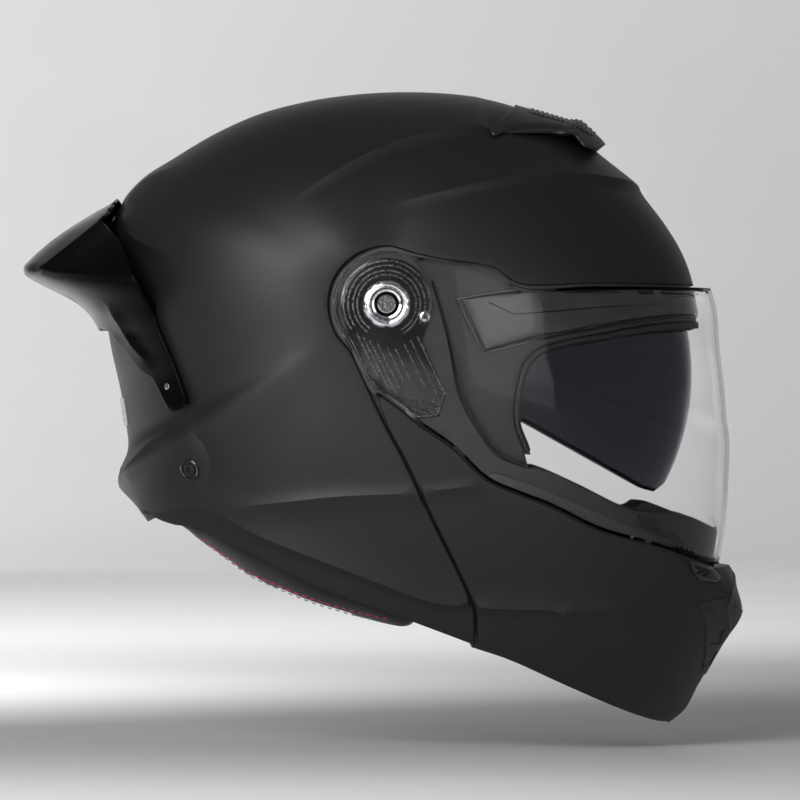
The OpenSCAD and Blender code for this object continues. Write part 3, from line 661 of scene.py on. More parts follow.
SPOILER = Skin((
    (0, 180), (90, 130), (140, 141), (150, 150), (158.5, 157.5), (161.5, 164), (173.3, 196.5),
    (174.3, 197), (175.2, 195), (178, 175), (180, 165), (183, 158), (187, 155), (200, 156),
    (215, 180), (270, 250), (360, 180)), SIDE_W + 3.5, SIDE_W + 3.5)
TOP_VENT = Skin((
    (0, 180), (20, 160), (34, 144.5), (36.7, 147), (41.5, 145.5), (44, 144.5), (46.2, 140),
    (53.7, 132.2), (58.4, 128.8), (70, 122), (90, 117), (180, 155), (270, 240), (360, 180)),
    SWING_W + 4, SWING_W + 4)
HEAD = Skin((
    (0, 118), (30, 108), (60, 92), (90, 84), (120, 90), (150, 104), (180, 112), (215, 122),
    (250, 190), (270, 230), (300, 220), (330, 150), (360, 118)), 84, 84)

SEAM: Line = [(-17, -29), (-9, -46), (0, -65), (8.5, -81), (17, -99), (27, -120), (35, -136),
              (43, -153), (46, -162), (47, -178)]
STEP_LINE: Line = [
    (-7, -45), (3, -52), (18, -64), (35, -76), (52, -92), (72, -101), (84, -105.5),
    (112, -119), (143, -128), (163, -135), (174, -139)]
BOTTOM_EDGE: Line = [
    (-103, -118), (-95, -119.5), (-89, -124), (-71, -132.5), (-49, -144), (-27, -153),
    (-1, -162), (31, -174), (46.5, -180)]
EYE_PORT: Line = [
    (168, -8), (142, -10), (111, -15.5), (85, -21), (76, -26), (70.5, -35), (67, -61),
    (72, -76), (75, -90), (78, -150)]


def sharp(*points: Point) -> list[tuple]:
    """Returns points that stay sharp corners."""
    return [(x, z, 1) for x, z in points]


def beyond(x: float, z: float) -> tuple:
    """Returns a corner past the skin, straight out from the axis through a rim point."""
    return (PAST_RIM * x, PAST_RIM * z, 1)


def moved(line: Sequence[Point], dx: float, dz: float) -> Line:
    """Returns the line moved by dx and dz."""
    return [(x + dx, z + dz) for x, z in line]


class Effect(Enum):
    """Surface patterns that several materials share."""

    GRAIN = "grain"
    WEAVE = "weave"
    BEADS = "beads"
    SCUFF = "scuff"


class Workshop:
    """Makes the node groups that the materials share."""

    def __init__(self) -> None:
        """Starts with no groups made."""
        self.groups: dict[Effect, bpy.types.NodeTree] = {}

    def group(self, effect: Effect) -> bpy.types.NodeTree:
        """Returns the node group of an effect, made the first time it is asked for."""
        if effect in self.groups:
            return self.groups[effect]
        tree = bpy.data.node_groups.new(effect.value, "ShaderNodeTree")
        number = "NodeSocketFloat"
        for name, start in (("Scale", 900.0), ("Depth", 1.0)):
            asked = tree.interface.new_socket(name, in_out="INPUT", socket_type=number)
            asked.default_value = start
        for name in ("Height", "Mask"):
            tree.interface.new_socket(name, in_out="OUTPUT", socket_type=number)
        nodes, links = tree.nodes, tree.links
        start, end = nodes.new("NodeGroupInput"), nodes.new("NodeGroupOutput")
        place = nodes.new("ShaderNodeTexCoord")
        source = self.pattern(effect, tree, place.outputs["Object"], start.outputs["Scale"])
        depth = nodes.new("ShaderNodeMath")
        depth.operation = "MULTIPLY"
        links.new(source, depth.inputs[0])
        links.new(start.outputs["Depth"], depth.inputs[1])
        links.new(depth.outputs[0], end.inputs["Height"])
        ramp = nodes.new("ShaderNodeMapRange")
        ramp.inputs["From Min"].default_value = 0.42
        ramp.inputs["From Max"].default_value = 0.66
        links.new(source, ramp.inputs["Value"])
        links.new(ramp.outputs["Result"], end.inputs["Mask"])
        self.groups[effect] = tree
        return tree

    @staticmethod
    def pattern(effect: Effect, tree: bpy.types.NodeTree, where: bpy.types.NodeSocket,
                scale: bpy.types.NodeSocket) -> bpy.types.NodeSocket:
        """Makes the texture nodes of an effect.

        Args:
            effect: The effect.
            tree: The node group they go into.
            where: The coordinates.
            scale: The pattern's scale.

        Returns:
            The pattern's value.
        """
        def texture(kind: str) -> bpy.types.Node:
            """Returns a new texture node with its coordinates and scale linked."""
            node = tree.nodes.new(kind)
            tree.links.new(where, node.inputs["Vector"])
            tree.links.new(scale, node.inputs["Scale"])
            return node

        if effect is Effect.WEAVE:
            mix = tree.nodes.new("ShaderNodeMath")
            mix.operation = "MAXIMUM"
            for k, direction in enumerate("XZ"):
                wave = texture("ShaderNodeTexWave")
                wave.bands_direction = direction
                wave.inputs["Distortion"].default_value = 0.6
                tree.links.new(wave.outputs["Fac"], mix.inputs[k])
            return mix.outputs[0]
        if effect is Effect.BEADS:
            return texture("ShaderNodeTexVoronoi").outputs["Distance"]
        noise = texture("ShaderNodeTexNoise")
        noise.inputs["Detail"].default_value = 3.0 if effect is Effect.GRAIN else 6.0
        noise.inputs["Roughness"].default_value = 0.55
        return noise.outputs["Fac"]


@dataclass(frozen=True)
class Finish:
    """Surface finish of one material.

    Attributes:
        color: Base colour, linear.
        rough: Roughness.
        metal: Metallic.
        effect: The surface pattern.
        scale: Size of the pattern, in turns per metre.
        bump: Strength of the pattern's bump.
        depth: Depth of the pattern's bump, in metres.
        spread: How far the pattern changes the roughness.
        tint: How far the pattern changes the colour.
        coat: Weight of a clear coat.
        clear: Transmission weight.
        ior: Index of refraction.
        sheen: Weight of the cloth sheen.
        specular: Specular level.
    """

    color: tuple[float, float, float]
    rough: float
    metal: float = 0.0
    effect: Effect = Effect.GRAIN
    scale: float = 900.0
    bump: float = 0.1
    depth: float = 0.0002
    spread: float = 0.08
    tint: float = 0.15
    coat: float = 0.0
    clear: float = 0.0
    ior: float = 1.5
    sheen: float = 0.0
    specular: float = 0.5

    def material(self, name: str, shop: Workshop) -> bpy.types.Material:
        """Makes the material of that name, with the workshop's node groups."""
        mat = bpy.data.materials.new(name)
        mat.use_nodes = True
        tree = mat.node_tree
        tree.nodes.clear()
        out = tree.nodes.new("ShaderNodeOutputMaterial")
        shader = tree.nodes.new("ShaderNodeBsdfPrincipled")
        tree.links.new(shader.outputs["BSDF"], out.inputs["Surface"])
        values = {"Base Color": (*self.color, 1.0), "Roughness": self.rough,
                  "Metallic": self.metal, "Coat Weight": self.coat, "Coat Roughness": 0.06,
                  "Transmission Weight": self.clear, "IOR": self.ior,
                  "Sheen Weight": self.sheen, "Sheen Roughness": 0.5,
                  "Specular IOR Level": self.specular}
        for key, value in values.items():
            shader.inputs[key].default_value = value
        pattern = tree.nodes.new("ShaderNodeGroup")
        pattern.node_tree = shop.group(self.effect)
        pattern.inputs["Scale"].default_value = self.scale
        if self.clear <= 0:
            shade = tree.nodes.new("ShaderNodeMix")
            shade.data_type = "RGBA"
            for end, change in (("A", -self.tint), ("B", self.tint)):
                shade.inputs[end].default_value = (
                    *[min(1, c * (1 + change)) for c in self.color], 1.0)
            tree.links.new(pattern.outputs["Mask"], shade.inputs["Factor"])
            tree.links.new(shade.outputs["Result"], shader.inputs["Base Color"])
        change = tree.nodes.new("ShaderNodeMapRange")
        change.inputs["To Min"].default_value = max(0.0, self.rough - self.spread)
        change.inputs["To Max"].default_value = min(1.0, self.rough + self.spread)
        tree.links.new(pattern.outputs["Mask"], change.inputs["Value"])
        tree.links.new(change.outputs["Result"], shader.inputs["Roughness"])
        if self.bump > 0:
            height = tree.nodes.new("ShaderNodeBump")
            height.inputs["Strength"].default_value = self.bump
            height.inputs["Distance"].default_value = self.depth
            tree.links.new(pattern.outputs["Height"], height.inputs["Height"])
            tree.links.new(height.outputs["Normal"], shader.inputs["Normal"])
        return mat


FINISHES = {
    "shell_paint": Finish((0.0095, 0.0095, 0.0098), 0.46, scale=2600, bump=0.12, depth=0.0001,
        spread=0.05, specular=0.4),
    # Lighter copy of shell_paint: painted light that makes the recess floor and the visor ledge
    # brighter than the shell.
    "recess_painted_light": Finish((0.026, 0.0265, 0.0275), 0.42, scale=2600, bump=0.12, depth=0.0001,
        spread=0.05),
    "spoiler_gloss": Finish((0.003, 0.003, 0.0032), 0.2, scale=40, effect=Effect.SCUFF,
        bump=0.0, spread=0.04, specular=0.05),
    "vent_plastic": Finish((0.012, 0.012, 0.0125), 0.5, scale=1800, bump=0.3),
    "pale_vent": Finish((0.5, 0.5, 0.52), 0.5, scale=1500),
    "rubber_black": Finish((0.011, 0.011, 0.011), 0.62, scale=1500, bump=0.25),
    "rubber_grey": Finish((0.05, 0.05, 0.052), 0.6, effect=Effect.BEADS, scale=1300, bump=0.6,
        depth=0.0004),
    "foam": Finish((0.02, 0.02, 0.021), 0.85, effect=Effect.BEADS, scale=330, bump=0.8,
        depth=0.0006, tint=0.3),
    "lining": Finish((0.016, 0.016, 0.017), 0.9, effect=Effect.WEAVE, scale=260, bump=0.4,
        depth=0.0004, sheen=0.5, tint=0.3),
    "lining_roll": Finish((0.011, 0.011, 0.012), 0.85, effect=Effect.WEAVE, scale=300,
        bump=0.5, depth=0.0004, sheen=0.35, tint=0.3),
    "webbing": Finish((0.012, 0.012, 0.013), 0.8, effect=Effect.WEAVE, scale=190, bump=0.7,
        depth=0.0006, sheen=0.3, tint=0.35),
    "clear": Finish((1.0, 1.0, 1.0), 0.015, scale=30, effect=Effect.SCUFF, bump=0.0,
        spread=0.01, clear=1.0, ior=1.16),
    "smoke": Finish((0.15, 0.158, 0.18), 0.03, scale=30, effect=Effect.SCUFF, bump=0.0,
        spread=0.01, clear=1.0, ior=1.2),
    "chrome": Finish((0.75, 0.75, 0.77), 0.12, metal=1.0, scale=700, bump=0.05),
    # Grey metallic copy of the plates' gloss black: painted highlight along the plate ribs.
    "rib_painted_highlight": Finish((0.2, 0.2, 0.21), 0.3, metal=0.85, scale=900, bump=0.1),
    "chrome_dark": Finish((0.06, 0.06, 0.065), 0.25, metal=0.9, scale=900, bump=0.2),
    "steel": Finish((0.5, 0.5, 0.51), 0.3, metal=1.0, scale=900, bump=0.1),
    "screw_black": Finish((0.03, 0.03, 0.032), 0.35, metal=0.6, scale=900, bump=0.1),
    "red_plastic": Finish((0.4, 0.012, 0.015), 0.35, scale=900),
    "gloss_black": Finish((0.008, 0.008, 0.009), 0.15, scale=60, effect=Effect.SCUFF,
        bump=0.0, spread=0.05, coat=0.5),
    # Lighter copy of gloss_black: painted sheen on the brow insert and a painted highlight along
    # the visor arm's edge.
    "gloss_painted_sheen": Finish((0.032, 0.033, 0.035), 0.22, scale=60, effect=Effect.SCUFF, bump=0.0,
        spread=0.04, coat=0.4),
    "thread_red": Finish((0.45, 0.03, 0.09), 0.7, effect=Effect.WEAVE, scale=900, bump=0.4),
    "thread_grey": Finish((0.35, 0.34, 0.36), 0.7, effect=Effect.WEAVE, scale=900, bump=0.4),
    "floor": Finish((0.72, 0.72, 0.73), 0.6, scale=3, bump=0.0, tint=0.01, spread=0.02),
}


class Looks:
    """The helmet's materials. Most are named after one of the record's material slots."""

    def __init__(self) -> None:
        """Makes every material."""
        shop = Workshop()
        self.made = {name: finish.material(name, shop) for name, finish in FINISHES.items()}

    def __getitem__(self, name: str) -> bpy.types.Material:
        """Returns the material of that name."""
        return self.made[name]


@dataclass
class Helmet:
    """What the helmet's classes share.

    Attributes:
        looks: The materials.
    """

    frame: dict
    looks: Looks

    def dress(self, obj: bpy.types.Object, look: str, body: str,
              instead: Sequence[str] = (), slot: str | None = None) -> bpy.types.Object:
        """Gives a piece its material, body and CAD nodes.

        Args:
            obj: The piece.
            look: Name of its material.
            body: The body it moves with.
            instead: The CAD nodes it stands for.
            slot: The record's material slot, where it isn't the look's name; not used.

        Returns:
            The piece.
        """
        obj.data.materials.clear()
        obj.data.materials.append(self.looks[look])
        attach(obj, body)
        if instead:
            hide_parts(*instead)
        if instead or slot:
            slot or look
        return obj

    def paint_frame(self) -> None:
        """Gives every CAD node the material of its slot."""
        slots = {s["node"]: s["material_slot"] for s in self.frame["record"]["subparts"]}
        for node, obj in self.frame["nodes"].items():
            obj.data.materials.clear()
            obj.data.materials.append(self.looks[slots[node]])


@dataclass
class Shell(Helmet):
    """Outer shell: main panel, recess floor, brow insert and eye port bead."""

    creases: tuple[Crease, ...] = (
        Crease(((-52, 52), (-41, 61), (-16, 75), (11, 86), (40, 91.5), (56, 93.5)),
               3.4, 30, 5, (0.5, 0.06)),
        Crease(((-8, 44), (0.5, 51), (39, 61), (66.5, 66.5), (94, 68.5), (116, 67),
                (135.5, 63), (146, 53), (152, 40)), 3.0, 16, 5, (0.4, 0.25)),
        Crease(((-141.5, 50.5), (-138, 40), (-129, 33), (-112, 27)), 1.6, 9, 9, (0.1, 0.5)),
        Crease(((-140, 54), (-133, 63), (-123.5, 70), (-108, 76)), 1.6, 7, 10, (0.1, 0.5)),
        Crease(((-138, -112), (-124, -109), (-95.5, -107), (-69, -120), (-45, -130),
                (-24, -138), (-1, -147), (24, -156), (44, -158)), 2.2, 20, 5, (0.05, 0.01)),
        Crease(((-100, -104), (-83, -106), (-58, -104), (-25, -100.5), (10, -99), (18, -98)),
               1.5, 8, 16, (0.3, 0.01)),
        Crease(((-112, -58), (-115, -66), (-127, -75), (-142, -91)), 1.8, 9, 7, (0.3, 0.05)),
        Crease(((-106, -55), (-104, -66), (-96, -76), (-94, -90), (-101, -101)),
               -1.3, 9, 9, (0.3, 0.3)))

    def build(self) -> None:
        """Makes the shell's panels."""
        outline = [
            *sharp((-300, -94.5), (-147, -94.5)), (-144, -98), (-133, -107), (-122, -114),
            *sharp((-113, -117)), *BOTTOM_EDGE[:-1], *sharp(BOTTOM_EDGE[-1]),
            *reversed(SEAM[1:-1]), (-17.5, -27), *arc(0, 0, 30.5, 228, 85, 14),
            (14, 27), (30, 23.5), (56, 19.5), (66, 12.5), (75, 10), (111, 11.5),
            *sharp((167, 11.5)), beyond(167.5, 11.5), *sharp((300, 300), (-300, 300))]
        main = Panel("shell_main", BODY, outline, creases=self.creases, roll=1.1,
                     thickness=3.8, pitch=3.0).build()
        self.dress(smooth_by_angle(main, 24), "shell_paint", "helmet", ["outer_shell"])
        floor = Panel(
            "shell_recess", LOW,
            [*arc(0, 0, 33, 225, 80, 10), (18, 29), (32, 27), (58, 23), (70, 16),
             *sharp((76, 14), (300, 14), (300, -8)), *EYE_PORT[:-1], *sharp((78, -150),
             (62, -187), (44, -181)), *reversed(moved(SEAM[:-1], -4, 0))],
            roll=0.9, thickness=3.4, pitch=3.6).build()
        # Painted light: the recess floor gets the lighter copy of the shell paint.
        self.dress(floor, "recess_painted_light", "helmet")
        brow = Panel(
            "brow_insert", LOW.grown(1.4),
            [*sharp((39, 3.5)), (60, 6), (80, 6.5), (121, 6.5), *sharp((300, 6), (300, -4)),
             (168, -4.5), (152, -5), (130, -7.5), (111, -11), (80, -17), (62, -21.5),
             *sharp((52, -24.5))], roll=1.2, thickness=1.8, pitch=3.0).build()
        # Painted sheen: the brow insert, gloss black, gets the lighter copy of that material.
        self.dress(brow, "gloss_painted_sheen", "helmet", slot="gloss_black")
        # The dark gloss beads laid round and across the brow insert are painted shade, standing
        # in for the shaded grooves along it.
        frame = [*sharp((36.5, 2.6)), (60, 6.6), (82, 7.2), (121, 7.2), *sharp((168, 7.0))]
        under = [*sharp((36.5, 2.6), (50.6, -25.6)), (62, -22.8), (80, -18.4), (111, -12.3),
                 (130, -8.9), (152, -6.2), *sharp((165.5, -5.6))]
        lines = [bead("line", LOW.grown(1.0), run, 1.5, 1.1) for run in (frame, under)]
        lines.append(bead("line", LOW.grown(1.4), [*sharp((53.5, 1.1), (66.8, -5.2)),
                                                   (86.4, -3.6), (114, -1.2), (150, 1)],
                          0.8, 0.5))
        self.dress(joined("brow_painted_shade_lines", lines), "gloss_black", "helmet")
        inner = [(163, -11.4), (142, -13.4), (112, -18.6), (87, -24.2), (79, -28.5),
                 (73.9, -36.5), (70.5, -61), (75, -76)]
        seal = Panel(
            "eyeport_bead", LOW.grown(0.9),
            [beyond(166, -8), *EYE_PORT[:8], *sharp((73, -79), (76, -79)),
             *reversed(inner), beyond(165.6, -11.4)],
            roll=1.4, thickness=4.6, pitch=1.6).build()
        self.dress(seal, "rubber_black", "helmet", ["eyeport_seal"])


@dataclass
class RearSpoiler(Helmet):
    """Gloss spoiler behind the crown, with its side legs."""

    def build(self) -> None:
        """Makes the spoiler."""
        outline = [
            beyond(-145.6, 58.6), *sharp((-145.6, 58.6)), (-149, 50),
            *sharp((-151.5, 45)), (-143, 36), (-138, 26), (-129.5, 7), (-121, -13),
            (-113, -31), *sharp((-106, -50)), (-109, -54.5), *sharp((-113, -56)),
            (-116, -55), (-125, -39), (-131, -35), (-135.5, -30), (-143, -21),
            *sharp((-150, -13), (-300, -13))]
        creases = (
            Crease(((-148, 50), (-153, 44), (-170, 30), (-187, 17)), 1.6, 5, 9, (0.1, 0.1)),
            Crease(((-150, 2), (-143, -8), (-134, -22), (-122, -34)), 1.4, 6, 8, (0.2, 0.2)))
        piece = Panel("spoiler", SPOILER, outline, creases=creases, roll=1.2, thickness=6.5,
                      pitch=2.2).build()
        self.dress(smooth_by_angle(piece, 35), "spoiler_gloss", "helmet", ["rear_spoiler"])


@dataclass
class TopVent(Helmet):
    """Air intake on the crown, with its slider.

    Attributes:
        rib_height: Height of the slider's grip ribs.
        rib_pitch: Distance between them.
    """

    rib_height: float = 0.3
    rib_pitch: float = 2.6

    def build(self) -> None:
        """Makes the vent housing and the slider."""
        outline = [
            (55, 94.5), (57, 91), (64, 93), (72, 93), (100, 92), (106, 86),
            *sharp((113, 84)), beyond(118.2, 87.8), beyond(67, 106.5), (67, 106)]
        creases = (Crease(((60, 93), (80, 95.5), (100, 94.5)), -2.2, 3, 2, (0.2, 0.1)),)
        piece = Panel("top_vent", TOP_VENT, outline, creases=creases, roll=1.2, thickness=2.4,
                      pitch=1.8).build()
        self.dress(smooth_by_angle(piece, 45), "vent_plastic", "helmet", ["top_vent_housing"])
        slider = Panel(
            "vent_slider", TOP_VENT.grown(0.5),
            [*sharp((76, 104.2)), (97, 98.2), *sharp((110, 91.5), (116, 97)), (97, 106),
             *sharp((78, 111))], relief=self.ribs, roll=0.4, thickness=1.8,
            pitch=0.8).build()
        self.dress(smooth_by_angle(slider, 40), "vent_plastic", "top_slider",
                   ["top_vent_slider"])

    def ribs(self, xz: np.ndarray) -> np.ndarray:
        """Returns the height of the slider's grip ribs, which have flat tops."""
        wave = np.sin(xz[:, 0] * 2 * math.pi / self.rib_pitch)
        return self.rib_height * np.clip(wave * 1.6, -1, 1)


@dataclass
class ChinBar(Helmet):
    """Chin bar: outer panel, visor ledge with the arms, and the strip the visor shuts on."""

    creases: tuple[Crease, ...] = (
        Crease(((46, -159), (72, -160), (88.5, -161), (97, -167), (112, -180), (129, -194),
                (140, -204)), 2.0, 14, 5, (0.02, 0.2)),
        Crease(((88, -161), (120, -160.5), (143, -160), (165, -158)), 1.1, 8, 10, (0.1, 0.2)),
        Crease(((19, -98), (28, -97), (45, -95), (52, -94)), 1.1, 6, 10, (0.01, 0.3)),
        Crease(((187.5, -142), (184, -151), (182, -159), (180.5, -168)), 1.4, 4, 4, (0.1, 0.2)))

    def build(self) -> None:
        """Makes the chin bar's panels."""
        outer = Panel(
            "chin_outer", CHIN,
            [*sharp((-6, -46.5)), *STEP_LINE[1:-1], *sharp((174, -139)),
             *sharp((184, -138.7)), beyond(184.6, -138.7), beyond(151, -223.5),
             *sharp((151, -223.5)), (143, -222), (122, -214), (91, -200), (72, -191),
             (58, -185), *sharp((48, -180)), *reversed(moved(SEAM[2:-1], 1.1, 0))],
            creases=self.creases, roll=1.0, thickness=3.8, pitch=2.8).build()
        self.dress(smooth_by_angle(outer, 24), "shell_paint", "chin_bar", ["chin_bar_shell"])
        self.vents()
        under = moved(STEP_LINE[1:], 0, -5)
        ledge = Panel(
            "chin_ledge", LEDGE,
            [*arc(0, 0, 27.2, 55, 218, 14), (-16, -31), *sharp((-9, -46)), *under,
             beyond(174, -144), beyond(175.5, -113.5), (165, -113.5), (133, -109), (122, -105),
             (100, -94), (81, -86), (72, -85), (58, -79), (48, -66), (39, -50), (35, -34),
             (31, -10), (25, 8)], roll=0.8, thickness=1.6, pitch=2.8).build()
        # Painted light: the visor ledge gets the lighter copy of the shell paint.
        self.dress(ledge, "recess_painted_light", "chin_bar")
        trim = bead("arm_trim", LEDGE.grown(0.4),
                    [(24, 12), (29.5, -8), (33, -22), (37, -38), (41.5, -50), (50, -66),
                     (60, -78), (74, -85.5)], 1.3, 0.7)
        self.dress(trim, "gloss_black", "chin_bar")
        run = STEP_LINE[2:-1]
        top = shelf("chin_shelf", CHIN.grown(-1.2),
                    [*moved(run, 0, -1.2), (174, -140.2), (180, -140.2), *sharp((184, -140.2))],
                    LEDGE.grown(-0.6), [*moved(run, 0, -2.4), (168, -139.5), (174, -141.4)])
        self.dress(top, "shell_paint", "chin_bar")
        strip = Panel(
            "visor_strip", LEDGE.grown(1.3),
            [*sharp((56, -88)), (67, -91), (91.5, -101), (122, -114), (143, -122),
             *sharp((165, -131)), beyond(179, -131), beyond(174.3, -138.4),
             *reversed(moved(STEP_LINE[4:], 0.3, 0.6))], roll=0.7, thickness=1.2,
            pitch=1.8).build()
        self.dress(strip, "rubber_grey", "chin_bar", ["visor_rest_seal"])

    def vents(self) -> None:
        """Makes the breath deflector, the visor's air vent and the mouth vent."""
        inner = CHIN_INNER
        fin = Panel("breath_fin", inner.grown(-3.0), [
            *sharp((129.5, -108), (134.5, -104.6)), (141.5, -105.4), *sharp((150, -108.4)),
            beyond(150.5, -108.6), beyond(150.5, -113.8), *sharp((146, -113.5))],
            roll=0.6, thickness=2.0, pitch=1.8).build()
        self.dress(fin, "rubber_black", "chin_bar", ["breath_deflector"])
        gills = [sharp((x, z), (x + 7.5, z - 2.6), (x + 6.6, z - 6.6)) for x, z in (
            (143.5, -116.0), (152.0, -119.0), (160.5, -121.8))]
        block = Panel("visor_vent", inner.grown(2.0), [
            *sharp((133, -110.5), (150, -112.6), (165, -115)), beyond(172, -116.4),
            beyond(174, -129.5), *sharp((166, -130), (150, -123.5), (136, -117.5))],
            holes=gills, roll=0.7, thickness=2.6, pitch=1.8).build()
        self.dress(smooth_by_angle(block, 40), "vent_plastic", "chin_bar",
                   ["chin_vent_insert"])
        slots = [sharp((174.6, -172.5), (180.5, -174), (178.6, -181), (173.4, -180.5)),
                 sharp((172.6, -185), (177, -186), (173.8, -193), (170.6, -192))]
        mouth = Panel("mouth_vent", CHIN.grown(0.7), [
            *sharp((165.6, -158.4), (180.6, -155.2)), beyond(189.6, -154), beyond(176, -191),
            *sharp((169.3, -196.5)), (170.6, -184), *sharp((169.6, -168.5))], holes=slots,
            creases=(Crease(((171, -162), (178.4, -169.2), (182, -172)), 1.4, 4, 3, (0, 0)),
                     Crease(((181.2, -157), (182, -174), (180, -182)), 1.3, 3, 3, (0.1, 0.2))),
            roll=0.8, thickness=2.2, pitch=1.6).build()
        self.dress(smooth_by_angle(mouth, 30), "vent_plastic", "chin_bar",
                   ["chin_vent_grille"])


@dataclass
class Visors(Helmet):
    """Clear visor, with the edges of its arms and its finger tab."""

    def build(self) -> None:
        """Makes the clear visor."""
        clear = Panel(
            "visor_lens", VISOR,
            [*arc(0, 0, 28, 66, 208, 14), *sharp((-7, -44.4)), *moved(STEP_LINE[1:-1], 0.3, 0.6),
             *sharp((174.3, -138.4), (300, -138.4), (300, 9.8)), (111, 9.8), (75, 8), (66, 11),
             (56, 18.5), (30, 22.5)], roll=0.5, thickness=2.0, pitch=3.0).build()
        self.dress(clear, "clear", "visor", ["visor"])
        edge = bead("visor_arm_edge", VISOR.grown(-0.2), [
            *arc(0, 0, 27, 150, 205, 12), *sharp((-6.4, -43.6), (10, -56))], 1.2, 0.6)
        # Painted highlight: the arm edge gets the lighter copy of gloss black.
        self.dress(edge, "gloss_painted_sheen", "visor")
        tab = Panel("visor_finger_tab", BODY.grown(1.4, SIDE_W - SWING_W + 1.4), [
            *sharp((160.8, -135.6), (173.5, -139.4), (179, -144.4), (176.4, -147.4),
                   (166.4, -146.2), (162.6, -141.6))], roll=0.7, thickness=3.0, pitch=1.0,
            side=Side.RIGHT).build()
        marks = [bead("mark", BODY.grown(2.6, SIDE_W - SWING_W + 2.6),
                      sharp((x, z), (x + 2.4, z - 2.2), (x - 0.4, z - 4.2)), 0.7, 0.5,
                      side=Side.RIGHT) for x, z in ((166, -138.6), (169.5, -139.6))]
        self.dress(joined("visor_finger_tab", [tab, *marks]), "gloss_black", "visor",
                   ["visor_tab"])


def shelf(name: str, outer: Skin, outer_line: Sequence[tuple], inner: Skin,
          inner_line: Sequence[tuple], rows: int = 120) -> bpy.types.Object:
    """Closes the gap between a line on one skin and a line on another, on both sides.

    Args:
        name: Name of the piece.
        outer: The outer skin.
        outer_line: The line on it, as flowing() takes it, ending on the middle line.
        inner: The inner skin.
        inner_line: The line on that one, ending on the middle line.
        rows: Count of points along each line.

    Returns:
        The closing strip, with a thickness.
    """
    edges = []
    for skin, line in ((outer, outer_line), (inner, inner_line)):
        surface = skin.points(skin.chart(flowing(line, closed=False, pitch=1.0)))
        surface[-1, 1] = 0
        steps = np.linalg.norm(np.diff(surface, axis=0), axis=1)
        along = np.concatenate([[0], np.cumsum(steps)])
        at = np.linspace(0, along[-1], rows)
        edges.append(np.stack([np.interp(at, along, surface[:, k]) for k in range(3)], 1))
    half = np.vstack(edges)
    faces = [(i, i + 1, rows + i + 1, rows + i) for i in range(rows - 1)]
    verts = np.vstack([half, half * [1, -1, 1]])
    faces += [tuple(2 * rows + q for q in reversed(f)) for f in faces]
    obj = repaired(from_rows(name, verts, faces), MERGE)
    finish_with(obj, "SOLIDIFY", thickness=1.2 * MM, offset=0.0, use_rim=True)
    return smooth_by_angle(obj, 40)


def lathe(name: str, profile: Sequence[Point], placed: Matrix, steps: int = 48,
          teeth: int = 0, bite: float = 0.0) -> bpy.types.Object:
    """Turns a profile about its own Z axis.

    Args:
        name: Name of the piece.
        profile: (radius, height) points in millimetres, from the outside to the middle.
        placed: Where the piece goes, in metres.
        steps: Points round the piece.
        teeth: Count of the notches round its outside.
        bite: Depth of the notches.

    Returns:
        The piece, its place in its mesh.
    """
    verts: list[tuple[float, float, float]] = []
    for k, (r, h) in enumerate(profile):
        for i in range(steps):
            a = 2 * math.pi * i / steps
            cut = bite * (0.5 + 0.5 * math.cos(teeth * a)) ** 3 if teeth and k in (1, 2) else 0.0
            verts.append(((r - cut) * math.cos(a), (r - cut) * math.sin(a), h))
    obj = from_rows(name, np.array(verts), tube(len(profile), steps))
    obj.data.transform(placed)
    return smooth_by_angle(obj, 30)


def socket(name: str, r: float, top: float, depth: float, recess: Line,
           placed: Matrix) -> bpy.types.Object:
    """Makes a round screw head with a recess of any outline in its face.

    Args:
        name: Name of the piece.
        r: Radius of the head.
        top: Height of the head's face.
        depth: Depth of the recess.
        recess: Outline of the recess.
        placed: Where the head goes, in metres.

    Returns:
        The head, its place in its mesh.
    """
    steps = 40
    rings = [(r, 0.0), (r, top * 0.55), (r * 0.93, top * 0.86), (r * 0.8, top)]
    verts = [(q * math.cos(2 * math.pi * i / steps), q * math.sin(2 * math.pi * i / steps), h)
             for q, h in rings for i in range(steps)]
    faces = tube(len(rings), steps)[:-1]  # the last end is the face, cut by the recess
    last = (len(rings) - 1) * steps
    n = len(recess)
    face = [Vector(v[:2]) for v in verts[last:]] + [Vector(q) for q in recess]
    loops = (range(steps), range(steps, steps + n))
    edges = [(c[i], c[(i + 1) % len(c)]) for c in loops for i in range(len(c))]
    flat, _, tris, origin, _, _ = delaunay_2d_cdt(face, edges, [], 0, 1e-6)
    ring = np.array(recess)
    base = len(verts)
    verts += [(q[0], q[1], top) for q in recess] + [(q[0], q[1], top - depth) for q in recess]
    index = [o[0] for o in origin]
    where = [last + i if i < steps else base + i - steps for i in index]
    for t in tris:
        middle = sum((flat[i] for i in t), Vector((0, 0))) / len(t)
        within = bool(inside(np.array([[middle.x, middle.y]]), ring)[0])
        faces.append(tuple(where[i] + (n if within else 0) for i in t))
    for i in range(n):
        j = (i + 1) % n
        faces.append((base + i, base + j, base + n + j, base + n + i))
    obj = repaired(from_rows(name, np.array(verts), faces))
    obj.data.transform(placed)
    return smooth_by_angle(obj, 30)


def cross(arm: float, width: float) -> Line:
    """Returns the outline of a cross recess."""
    w = width / 2
    quarter = [(arm, -w), (arm, w), (w, w)]
    out: Line = []
    for k in range(4):
        c, s = round(math.cos(k * math.pi / 2)), round(math.sin(k * math.pi / 2))
        out += [(c * x - s * z, s * x + c * z) for x, z in quarter]
    return out


def hexagon(r: float) -> Line:
    """Returns the outline of a six sided socket."""
    return [(r * math.cos(math.pi * k / 3), r * math.sin(math.pi * k / 3)) for k in range(6)]


